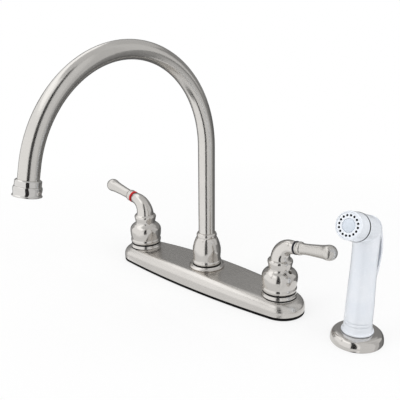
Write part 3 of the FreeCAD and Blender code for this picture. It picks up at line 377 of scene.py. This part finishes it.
def eased(line, radius, closed=False):
    """A profile with its sharp corners rounded. A corner that turns more than 20 degrees is cut back on both
    sides and filled with the curve (1-t)^2 before + 2t(1-t) corner + t^2 after."""
    line = np.asarray(line, float)
    full = np.concatenate([line[-1:], line, line[:1]]) if closed else line
    into, out = full[1:-1] - full[:-2], full[2:] - full[1:-1]
    before, after = np.linalg.norm(into, axis=1)[:, None], np.linalg.norm(out, axis=1)[:, None]
    straightness = np.sum(into * out, axis=1) / (before * after).ravel()
    cut = np.minimum(radius, 0.45 * np.minimum(before, after))
    cut = np.where((straightness < cos(radians(20)))[:, None], cut, 0.0)
    corner = full[1:-1]
    start, end = corner - into / before * cut, corner + out / after * cut
    t = np.linspace(0, 1, 4)[None, :, None]
    rounded = ((1 - t) ** 2 * start[:, None] + 2 * t * (1 - t) * corner[:, None] + t ** 2 * end[:, None])
    rounded = rounded.reshape(-1, 2)
    first, last = (rounded[:0], rounded[:1]) if closed else (full[:1], full[-1:])
    rounded = np.concatenate([first, rounded, last])
    moved = np.linalg.norm(np.diff(rounded, axis=0), axis=1) > 1e-5
    return rounded[np.r_[True, moved]]


def outline(start, *steps, ease=0.25, closed=False):
    """Points of a profile in millimetres, (radius, height). A step of one point is a straight line, of two an
    arc through the first to the second, and of more a smooth curve through them all."""
    line = np.array([start], float)
    for step in steps:
        through = np.vstack([line[-1:], np.array(step, float).reshape(-1, 2)])
        if len(through) == 2:
            fresh = through
        elif len(through) == 3:
            fresh = arc_through(*through)
        else:
            fresh = smooth_through(through)
        line = np.vstack([line, fresh[1:]])
    return eased(line, ease, closed)


def arc_through(a, b, c):
    """Points on the circle through three points, from the first to the last, at even angles."""
    rows = 2 * np.array([b - a, c - a])
    centre = np.linalg.solve(rows, [b @ b - a @ a, c @ c - a @ a])
    turn = np.unwrap([atan2(*(p - centre)[::-1]) for p in (a, b, c)])
    spots = np.linspace(turn[0], turn[2], 11)[:, None]
    return centre + np.linalg.norm(a - centre) * np.hstack([np.cos(spots), np.sin(spots)])


def smooth_through(knots, per_span=7):
    """Points on a cubic curve through all the knots. Its length is measured along the chords, its slopes and
    bends are continuous, and its end slopes come from the cubic through the nearest knots."""
    chord = np.linalg.norm(np.diff(knots, axis=0), axis=1)
    at = np.r_[0, np.cumsum(chord)]
    count = len(knots)
    near = min(count, 4)

    def end_slope(spots, values):
        powers = np.vander(spots - spots[0], near, increasing=True)
        return np.linalg.solve(powers, values)[1]

    system, right = np.eye(count), np.zeros((count, 2))
    right[0] = end_slope(at[:near], knots[:near])
    right[-1] = end_slope(at[::-1][:near], knots[::-1][:near])
    inside = np.arange(1, count - 1)
    system[inside, inside - 1] = chord[inside]
    system[inside, inside] = 2 * (chord[inside - 1] + chord[inside])
    system[inside, inside + 1] = chord[inside - 1]
    steps = np.diff(knots, axis=0) / chord[:, None]
    right[inside] = 3 * (chord[inside][:, None] * steps[inside - 1]
                         + chord[inside - 1][:, None] * steps[inside])
    slope = np.linalg.solve(system, right)
    u = np.linspace(0, 1, per_span, endpoint=False)[None, :, None]
    p, q = knots[:-1, None], knots[1:, None]
    m, n = slope[:-1, None] * chord[:, None, None], slope[1:, None] * chord[:, None, None]
    spans = ((2 * u ** 3 - 3 * u ** 2 + 1) * p + (u ** 3 - 2 * u ** 2 + u) * m
             + (3 * u ** 2 - 2 * u ** 3) * q + (u ** 3 - u ** 2) * n)
    return np.vstack([spans.reshape(-1, 2), knots[-1:]])


def turned(name, profile, spot=(0, 0, 0), turn=0.0, start=(0.0, 0.0), tilt=0.0, sides=96):
    """A profile turned about an axis. The axis leaves a start point (along, up) of a plan direction at a tilt
    from upright, both in degrees, and the profile's heights run along it."""
    radius, along = profile[:, 0], profile[:, 1]
    lean = radians(tilt)
    return ringed(name, start[0] + along * sin(lean), start[1] + along * cos(lean),
                  np.full(len(along), lean), radius, spot, turn, sides)


def ringed(name, across, up, lean, radius, spot=(0, 0, 0), turn=0.0, sides=96):
    """A skin of rings. Ring i has its centre at (across, up) in an upright plane through the spot, its axis
    leaning by lean[i] from upright in that plane, and its own radius. The plane is turned in plan."""
    a = np.linspace(0, 2 * np.pi, sides, endpoint=False)[None]
    rho, tip = radius[:, None], lean[:, None]
    x = across[:, None] + rho * np.cos(a) * np.cos(tip)
    z = up[:, None] - rho * np.cos(a) * np.sin(tip)
    y = rho * np.sin(a)
    c, s = cos(radians(turn)), sin(radians(turn))
    points = np.stack([x * c - y * s + spot[0], x * s + y * c + spot[1], z + spot[2]], -1)
    path = np.stack([across, up], -1)
    step = np.hypot(np.linalg.norm(np.diff(path, axis=0), axis=1), np.diff(radius))
    travelled = np.r_[0, np.cumsum(step)][:, None]
    grain = np.stack([rho * np.cos(a), rho * np.sin(a), travelled + 0 * a], -1)
    return form(name, points, grain)


def cut_away(piece, *cutters):
    """The piece with the room of each cutter taken out of it, and its edges shaded anew."""
    for cutter in cutters:
        cut = piece.modifiers.new("cut", "BOOLEAN")
        cut.object, cut.operation, cut.solver = cutter, "DIFFERENCE", "EXACT"
    whole = bpy.context.evaluated_depsgraph_get()
    mesh = bpy.data.meshes.new_from_object(piece.evaluated_get(whole), depsgraph=whole)
    piece.modifiers.clear()
    piece.data = mesh
    shaded(mesh)
    for cutter in cutters:
        bpy.data.objects.remove(cutter)


def drill(name, radius, low, high, sides, **placing):
    """The room of a round hole between two heights on its axis."""
    return turned(name, outline((0, low), [(radius, low)], [(radius, high)], [(0, high)], ease=0.01),
                  sides=sides, **placing)


def washer(inner, outer, low, high, ease=0.25):
    """The profile of a flat ring."""
    return outline((inner, low), [(outer, low)], [(outer, high)], [(inner, high)], closed=True, ease=ease)


satin = (0.71, 0.685, 0.655)
plate_nickel = brushed_metal("cover_satin_nickel", satin, 0.26, (45, 45, 3200))
points = np.concatenate([plate_rows(plate_wall, plate_shoulder - plate_wall, gasket_top)[::-1],
                         plate_rows(0.0, plate_shoulder, gasket_top)])
cover = form("cover_shell", points, np.concatenate([points[..., :2], run_length(points)[..., None]], -1))
cut_away(cover, *(drill("hole", wide, 8, 30, 64, spot=(x, 0, 0))
                  for x, wide in ((hot_x, valve_opening), (0, spout_opening), (cold_x, valve_opening))))
stands_for(cover, "base", "satin_nickel", plate_nickel, "cover_plate")
for side, x in (("hot", hot_x), ("cold", cold_x)):
    seat = turned(side + "_ring_seat", washer(valve_opening, 19.1, 14, ring_seat_top), spot=(x, 0, 0))
    stands_for(seat, "base", "satin_nickel", plate_nickel)

# ---- The gasket ----
# A moulded band of black rubber lies under the shell's edge, a hair inside it, and seals it to the deck. It
# shows as one black line.


def plastic(name, dark, light, gloss, speck=900.0, lift=0.12, coat=0.0, shine=0.5):
    """Moulded plastic or rubber: a faint cloud between two near tones, and a very fine even texture that
    lifts the surface and breaks up the gloss."""
    made, tree, shader = new_finish(name)
    shader.inputs["Coat Weight"].default_value = coat
    shader.inputs["Specular IOR Level"].default_value = shine
    place = add(tree, "TexCoord").outputs["Object"]
    clouds = add(tree, "TexNoise", Vector=place, Scale=55.0, Detail=3.0, Roughness=0.5).outputs["Fac"]
    specks = add(tree, "TexNoise", Vector=place, Scale=speck, Detail=2.0, Roughness=0.5).outputs["Fac"]
    surfaced(tree, shader, two_tones(tree, clouds, 0.35, 0.65, dark, light),
             follows(tree, specks, gloss - 0.04, gloss + 0.05), specks, lift, 0.00005)
    return made


deepest_black = ((0.002, 0.002, 0.002), (0.005, 0.005, 0.005))
soft_black = plastic("gasket_black_rubber", *deepest_black, 0.6, speck=1500.0, lift=0.3, shine=0.08)
insets = np.array([6.0, 0.5, 0.15, 0.15, 0.5, 6.0, 6.0])
heights = np.array([0.05, 0.05, 0.3, gasket_top - 0.2, gasket_top, gasket_top, 0.05])
plan, _ = plate_plan(insets)
points = np.dstack([plan, np.repeat(heights[:, None], plan.shape[1], 1)])
stands_for(form("gasket_band", points, points), "base", "black_rubber", soft_black, "deck_gasket")

# ---- The rings under the handles, and the black glide rings ----
# Turned brass rings, plated like the cover, slide over the valves. Under each lies a thin black ring that is
# painted shade: it draws the dark shadow line where the ring's foot meets the plate. A black plastic ring lies
# on each, and the handle's bell turns on it.
foot_ring_low, foot_ring_high = 18.3, 21.7
ring_grain = (30, 30, 2600)
ring_nickel = brushed_metal("ring_satin_nickel", satin, 0.20, ring_grain)
# Black plastic for the glide rings, and also for the thin rings of painted shade under the handles' feet.
black_plastic_and_shade = plastic("glide_black_plastic_and_painted_shade", (0.004, 0.004, 0.005), (0.009, 0.009, 0.01), 0.45, shine=0.2)
foot_profile = outline((12.1, foot_ring_low), [(18.8, foot_ring_low)], [(18.7, 18.8)],
                       [(18.1, 20.0), (17.8, 21.2)], [(17.7, foot_ring_high)], [(12.1, foot_ring_high)],
                       closed=True, ease=0.3)
# The profile of the thin black ring of painted shade under each foot ring.
shade_line_profile = washer(12.1, 18.6, ring_seat_top, foot_ring_low, ease=0.1)
glide_profile = washer(15.9, 17.55, foot_ring_high, 23.7, ease=0.15)
for side, x in (("hot", hot_x), ("cold", cold_x)):
    ring = turned(side + "_foot_ring", foot_profile, spot=(x, 0, 0))
    stands_for(ring, "base", "satin_nickel", ring_nickel, side + "_base_ring")
    # This black ring is painted shade: the dark line under the foot ring.
    shade_line = turned(side + "_foot_shade_line", shade_line_profile, spot=(x, 0, 0))
    stands_for(shade_line, "base", "black_plastic", black_plastic_and_shade)
    glide = turned(side + "_glide_ring", glide_profile, spot=(x, 0, 0))
    stands_for(glide, "base", "black_plastic", black_plastic_and_shade, "handle_glide_rings")

# ---- The handles ----
# Each is one zinc casting: a hollow bell over the valve, a beaded neck, and an elbow that thins towards the
# lever. It is polished and then brushed round, so it mirrors the room more sharply than the plate. A small
# socket screw holds it on the valve's stem, in a hole under the elbow.
handle_places = {"hot": (hot_x, 178.7), "cold": (cold_x, -5.0)}
bell_foot = 23.8
elbow_bend, elbow_turn, elbow_foot, elbow_run = 16.0, radians(80), 35.2, 6.6
neck_radius, seam_radius, seam_bevel = 10.4, 6.5, 0.2
screw_slope = radians(30)
handle_nickel = brushed_metal("handle_satin_nickel", satin, 0.17, ring_grain, scratch=0.16, spread=0.04)
bell = outline((0, 13.2), [(7.5, 13.2)], [(7.5, 17.2)], [(12.5, 17.2)], [(16.4, 12.2)], [(16.4, 0)],
               [(17.8, 0)], [(18.45, 2.3), (17.7, 4.7)],
               [(18.45, 8.35), (18.85, 13.0), (18.6, 16.9), (17.4, 19.3), (14.9, 21.8), (12.9, 23.4),
                (12.0, 24.7)],
               [(12.3, 27.1), (13.0, 30.4), (13.2, 31.8), (12.3, 33.7)], [(neck_radius, 34.7)],
               [(neck_radius, elbow_foot)])
# The elbow bends on a circle while its radius shrinks evenly, then runs straight to the coloured ring.
bend = np.linspace(0, elbow_turn, 29)[1:]
elbow_radius = np.r_[neck_radius + (7.2 - neck_radius) * bend / elbow_turn, seam_radius,
                     seam_radius - seam_bevel, 0.0]
end_x, end_up = elbow_bend * (1 - cos(elbow_turn)), elbow_foot + elbow_bend * sin(elbow_turn)
straight = np.array([elbow_run - seam_bevel, elbow_run, elbow_run])
across = np.r_[0 * bell[:, 0], elbow_bend * (1 - np.cos(bend)), end_x + straight * sin(elbow_turn)]
up = np.r_[bell[:, 1], elbow_foot + elbow_bend * np.sin(bend), end_up + straight * cos(elbow_turn)] + bell_foot
lean = np.r_[0 * bell[:, 0], bend, np.full(3, elbow_turn)]
handle_radius = np.r_[bell[:, 0], elbow_radius]
seam_place = (across[-1], up[-1])
screw_start = (14.6 - 5 * cos(screw_slope), 47.4 - 5 * sin(screw_slope))
for side, (x, turn) in handle_places.items():
    lever = ringed(side + "_bell", across, up, lean, handle_radius, spot=(x, 0, 0), turn=turn)
    cut_away(lever, drill("drill", 2.0, 0, 12, 24, spot=(x, 0, 0), turn=turn, start=screw_start, tilt=60))
    stands_for(lever, side + "_lever", "satin_nickel", handle_nickel, side + "_handle")

# ---- The coloured rings and the lever grips ----
# The grips are turned brass, brushed round and screwed on against a painted ring: red for hot, and a blue
# that is nearly black for cold.
grip_nickel = brushed_metal("grip_satin_nickel", (0.66, 0.64, 0.61), 0.27, ring_grain)
ring_paint = {"hot": ("hot_red", (0.52, 0.006, 0.010), (0.62, 0.012, 0.014)),
              "cold": ("cold_blue", (0.003, 0.004, 0.012), (0.006, 0.009, 0.026))}
colour_profile = outline((3.0, -0.3), [(6.85, -0.3)], [(7.1, 0.8), (6.85, 1.95)], [(3.0, 1.95)], closed=True)
grip_profile = outline((0, 1.6), [(6.6, 1.6)], [(6.6, 3.6)], [(7.0, 5.4), (5.95, 8.0)],
                       [(5.65, 11.6), (5.7, 16.1), (6.35, 28.2), (7.2, 36.7), (7.8, 40.7), (7.1, 44.1),
                        (5.1, 46.8), (2.73, 48.35), (0, 48.7)])
for side, (x, turn) in handle_places.items():
    slot, dark, light = ring_paint[side]
    enamel = plastic(side + "_ring_enamel", dark, light, 0.32, shine=0.3)
    placing = {"spot": (x, 0, 0), "turn": turn, "start": seam_place, "tilt": 80}
    stands_for(turned(side + "_colour_ring", colour_profile, sides=64, **placing), side + "_lever", slot,
               enamel, side + "_index_ring")
    stands_for(turned(side + "_grip", grip_profile, sides=72, **placing), side + "_lever", "satin_nickel",
               grip_nickel, side + "_lever_grip")

# ---- The spout ----
# A brass tube bent over a former, brushed round and plated. It rises through a turned hub that hides the
# swivel nut, and the hub turns on a black ring over the flange on the plate.
hub_nickel = brushed_metal("hub_satin_nickel", satin, 0.18, ring_grain, scratch=0.18, spread=0.04)
profile = outline((12.0, 19.95), [(19.0, 19.95)], [(20.1, 20.95)], [(20.1, 21.75)],
                  [(18.67, 22.65), (17.5, 23.9)], [(12.0, 23.9)], closed=True)
stands_for(turned("spout_foot_flange", profile), "base", "satin_nickel", ring_nickel, "spout_flange")
glide = turned("hub_glide_ring", washer(14.1, 16.2, 23.9, 25.0, ease=0.15))
stands_for(glide, "base", "black_plastic", black_plastic_and_shade, "spout_glide_ring")
profile = outline((14.6, 25.3), [(16.1, 25.3)], [(16.55, 26.8), (15.6, 29.2)],
                  [(15.65, 32.8), (16.0, 38.3), (15.75, 43.1), (15.0, 46.3), (14.45, 48.6), (13.6, 51.0),
                   (12.5, 53.6), (11.0, 55.7)], [(11.35, 58.5), (10.75, 60.4)], [(10.1, 61)], [(9.2, 61)],
                  [(9.2, 47)], [(12.9, 47)], [(14.6, 44)], closed=True)
stands_for(turned("swivel_hub", profile), "spout", "satin_nickel", hub_nickel, "spout_hub")

# The tube's middle line: a straight column, a hoop of one radius, and a straight end at the outlet. The skin
# runs along it on the outside and back along it on the inside.
column_foot, column_top, hoop_radius, hoop_turn, outlet = 44.0, 160.0, 110.0, radians(168), 14.0
tube_outer, tube_inner = 9.15, 7.95
hoop = np.linspace(0, hoop_turn, 85)
hoop_end = (hoop_radius * (1 - cos(hoop_turn)), column_top + hoop_radius * sin(hoop_turn))
tail = np.array([outlet / 2, outlet])
way_x = np.r_[0, 0, hoop_radius * (1 - np.cos(hoop)), hoop_end[0] + tail * sin(hoop_turn)]
way_z = np.r_[column_foot, 0.5 * (column_foot + column_top), column_top + hoop_radius * np.sin(hoop),
              hoop_end[1] + tail * cos(hoop_turn)]
way_lean = np.r_[0, 0, hoop, hoop_turn, hoop_turn]
tube_nickel = brushed_metal("tube_satin_nickel", (0.70, 0.68, 0.65), 0.2, (30, 30, 3000), scratch=0.05)
out_and_back = np.r_[np.arange(len(way_x)), np.arange(len(way_x))[::-1], 0]
wall = np.r_[np.full(len(way_x), tube_outer), np.full(len(way_x), tube_inner), tube_outer]
tube = ringed("spout_pipe", way_x[out_and_back], way_z[out_and_back], way_lean[out_and_back], wall, turn=-90,
              sides=72)
stands_for(tube, "spout", "satin_nickel", tube_nickel, "spout_tube")

# ---- The aerator ----
# A polished collar on the tube's end and a polished shell screwed on it, both brighter than the rest.
polished = brushed_metal("aerator_polished_nickel", (0.70, 0.685, 0.665), 0.09, (30, 30, 900), scratch=0.04,
                         spread=0.02)
collar_profile = outline((9.2, 10.4), [(10.2, 10.4)], [(11.2, 11.4)], [(11.2, 15.9)], [(10.2, 15.9)],
                         [(10.2, 19.5)], [(7.95, 19.5)], [(7.95, 14.0)], [(9.2, 14.0)], closed=True, ease=0.2)
shell_profile = outline((10.3, 15.9), [(11.4, 15.9)],
                        [(11.95, 16.9), (12.1, 18.7), (11.7, 21.7), (11.8, 22.8), (12.5, 23.6), (12.1, 24.6)],
                        [(9.5, 24.6)], [(8.8, 23.9)], [(8.8, 22.8)], [(10.3, 22.8)], closed=True, ease=0.2)
for name, profile, node in (("outlet_collar", collar_profile, "aerator_collar"),
                            ("outlet_shell", shell_profile, "aerator_housing")):
    piece = turned(name, profile, turn=-90, start=hoop_end, tilt=168)
    stands_for(piece, "spout", "polished_nickel", polished, node)

# ---- The hand spray's flange ----
# A domed flange of the same nickel stands on the deck with the spray's foot in its mouth.
spray_x = 193.8
profile = outline((13.1, 0), [(25.2, 0)], [(25.6, 0.5)], [(25.6, 2.6)],
                  [(25.2, 5.2), (24.2, 7.4), (22.3, 9.2), (20.0, 10.1)], [(15.8, 10.2)], [(15.3, 9.8)],
                  [(15.3, 7.0)], [(13.1, 7.0)], closed=True)
flange = turned("spray_deck_flange", profile, spot=(spray_x, 0, 0), sides=128)
flange_nickel = brushed_metal("flange_satin_nickel", satin, 0.13, ring_grain, scratch=0.1, spread=0.03)
stands_for(flange, "base", "satin_nickel", flange_nickel, "spray_flange")

# ---- The hand spray's grip and trigger ----
# Moulded in gloss white plastic with a faint blue cast. The grip leans back a little, ends in a round elbow
# and flares where it meets its flange. Both keep the solids' pocket and lug, joined and smoothed.
lean_back, grip_foot = radians(2.5), 8.6
skirt_low, skirt_high = 1.5, 7.6


def smoothed(node, sharp=32):
    """A copy of a solid's mesh with its loose corners joined and its round faces shaded smooth."""
    mesh = frame["nodes"][node].data.copy()
    joined(mesh, 2e-6)
    shaded(mesh, sharp)
    piece = placed(node + "_skin", mesh)
    even = piece.modifiers.new("even_shading", "WEIGHTED_NORMAL")
    even.keep_sharp, even.weight = True, 90
    return piece


spray_white = plastic("spray_white_plastic", (0.84, 0.88, 0.94), (0.88, 0.91, 0.96), 0.24, lift=0.03, coat=0.3)
stands_for(smoothed("spray_handle"), "hand_spray", "white_plastic", spray_white, "spray_handle")
stands_for(smoothed("spray_trigger"), "trigger", "white_plastic", spray_white, "spray_trigger")
profile = outline((13.4, skirt_low), [(15.0, skirt_low)], [(15.6, 2.2), (14.7, 3.6)],
                  [(13.95, 5.4), (13.7, skirt_high)], [(13.4, skirt_high)], closed=True, ease=0.2)
skirt_radius, skirt_height = profile[:, 0], profile[:, 1]
skirt = ringed("spray_skirt", -skirt_height * sin(lean_back), grip_foot + skirt_height * cos(lean_back),
               -lean_back * (skirt_height - skirt_low) / (skirt_high - skirt_low), skirt_radius,
               spot=(spray_x, 0, 0), turn=-90)
stands_for(skirt, "hand_spray", "white_plastic", spray_white)

# ---- The hand spray's head ----
# A white cup pushed on the elbow over a thin dark seam ring, closed by a white face with sixteen jets round a
# pale button. A black disc behind the face is painted shade: it makes the jets look black.
head_tilt, ball_height = 69.0, 104.3
tip = radians(head_tilt)
ball = (-ball_height * sin(lean_back), grip_foot + ball_height * cos(lean_back))
jet_count, jet_radius, jet_circle = 16, 1.1, 9.1


def on_head(name, profile, sides=96, aside=0.0, above=0.0):
    """A profile turned about the head's axis, or about a line beside it: moved aside, and above as the head
    sees it."""
    return turned(name, profile, spot=(spray_x + aside, 0, 0), turn=-90, tilt=head_tilt, sides=sides,
                  start=(ball[0] + above * cos(tip), ball[1] - above * sin(tip)))


# A plain black that paints the shade in the jets.
jet_shade_black = plastic("jet_painted_shade_black", *deepest_black, 0.6, shine=0.05)
profile = outline((0, 36.4), [(10.3, 36.4)], [(10.3, 37.35)], [(0, 37.35)], ease=0.1)
# The black disc behind the face is painted shade in the jets.
stands_for(on_head("jet_painted_shade_disc", profile, sides=48), "hand_spray", "black_rubber", jet_shade_black)
face = on_head("spray_face_disc", outline((0, 37.4), [(11.7, 37.4)], [(11.7, 39.0)], [(6.3, 39.0)],
                                          [(6.3, 38.0)], [(0, 38.0)], ease=0.15))
jet_profile = outline((0, 37), [(jet_radius, 37)], [(jet_radius, 40)], [(0, 40)], ease=0.01)
cut_away(face, *(on_head("jet", jet_profile, 20, aside=jet_circle * sin(a), above=jet_circle * cos(a))
                 for a in 2 * np.pi * np.arange(jet_count) / jet_count))
stands_for(face, "hand_spray", "white_plastic", spray_white, "spray_face")
face.data.materials.append(jet_shade_black)
# The walls of the jets, found by their distance from the axis and by facing across it, are painted black too:
# painted shade inside the holes.
axis = np.array([0, -sin(tip), cos(tip)])
centre, normal = np.zeros((2, len(face.data.polygons), 3))
face.data.polygons.foreach_get("center", centre.ravel())
face.data.polygons.foreach_get("normal", normal.ravel())
centre = centre - np.array([spray_x, -ball[0], ball[1]]) * mm
off_axis = np.linalg.norm(centre - (centre @ axis)[:, None] * axis, axis=1)
painted_shade_in_jets = (np.abs(normal @ axis) < 0.5) & (np.abs(off_axis - jet_circle * mm) < jet_radius * mm)
face.data.polygons.foreach_set("material_index", painted_shade_in_jets.astype(np.int32))
seam_grey = plastic("seam_grey_plastic", (0.012, 0.014, 0.017), (0.022, 0.025, 0.029), 0.5, shine=0.12)
button_grey = plastic("button_pale_plastic", (0.66, 0.72, 0.80), (0.71, 0.77, 0.85), 0.25, coat=0.3)
cup_profile = outline((10.4, 24.05), [(13.5, 24.05)],
                      [(13.4, 29.05), (13.1, 37.2), (12.85, 38.9), (12.2, 39.4)], [(11.8, 39.4)],
                      [(11.8, 37.4)], [(10.4, 37.4)], closed=True, ease=0.2)
button_profile = outline((0, 38.0), [(6.0, 38.0)], [(6.0, 38.8)], [(3.0, 39.25), (0, 39.4)], ease=0.2)
for name, profile, finish, material, node in (
        ("neck_seam", washer(10.4, 13.7, 22.7, 24.5, ease=0.15), "seam_plastic", seam_grey, "seam_ring"),
        ("spray_cup", cup_profile, "white_plastic", spray_white, "nozzle_cup"),
        ("jet_button", button_profile, "button_plastic", button_grey, "face_button")):
    stands_for(on_head(name, profile), "hand_spray", finish, material, node)

# ---- The pieces inside and below ----
# Cast and turned brass, plated steel, black rubber and plain plastics. The solids already show them in full,
# so each only gets the material of its slot.


def solid_metal(name, dark, light, gloss, swirl):
    """Plain metal as it leaves the lathe or the mould: two near tones in fine bands across the height, and a
    gloss that wanders with them."""
    made, tree, shader = new_finish(name)
    shader.inputs["Metallic"].default_value = 1.0
    place = add(tree, "TexCoord").outputs["Object"]
    stretched = add(tree, "Mapping", Vector=place, Scale=swirl).outputs[0]
    marks = add(tree, "TexNoise", Vector=stretched, Scale=1.0, Detail=4.0, Roughness=0.6).outputs["Fac"]
    surfaced(tree, shader, two_tones(tree, marks, 0.3, 0.7, dark, light),
             follows(tree, marks, gloss - 0.06, gloss + 0.08), marks, 0.2, 0.00008)
    return made


finishes = {
    "brass": solid_metal("yellow_brass", (0.56, 0.40, 0.16), (0.68, 0.50, 0.23), 0.30, (90, 90, 900)),
    "plated_steel": solid_metal("plated_steel", (0.46, 0.46, 0.45), (0.60, 0.60, 0.58), 0.30, (120, 120, 700)),
    "black_rubber": plastic("black_rubber", (0.003, 0.003, 0.003), (0.008, 0.008, 0.008), 0.6, speck=1500.0,
                            lift=0.3, shine=0.12),
    "black_plastic": black_plastic_and_shade,
    "inner_plastic": plastic("inner_plastic", (0.74, 0.73, 0.69), (0.82, 0.81, 0.77), 0.38),
    "ceramic": plastic("fired_ceramic", (0.78, 0.76, 0.70), (0.86, 0.84, 0.79), 0.18, speck=2200.0, lift=0.05),
    "white_plastic": spray_white,
    "satin_nickel": ring_nickel,
    "polished_nickel": polished,
}
blackened = solid_metal("blackened_steel", (0.02, 0.02, 0.022), (0.04, 0.04, 0.042), 0.4, (300, 300, 900))
for part in frame["record"]["subparts"]:
    node = frame["nodes"][part["node"]]
    if not node.hide_render:
        screw = part["node"].endswith("set_screw")
        node.data.materials.clear()
        node.data.materials.append(blackened if screw else finishes[part["material_slot"]])
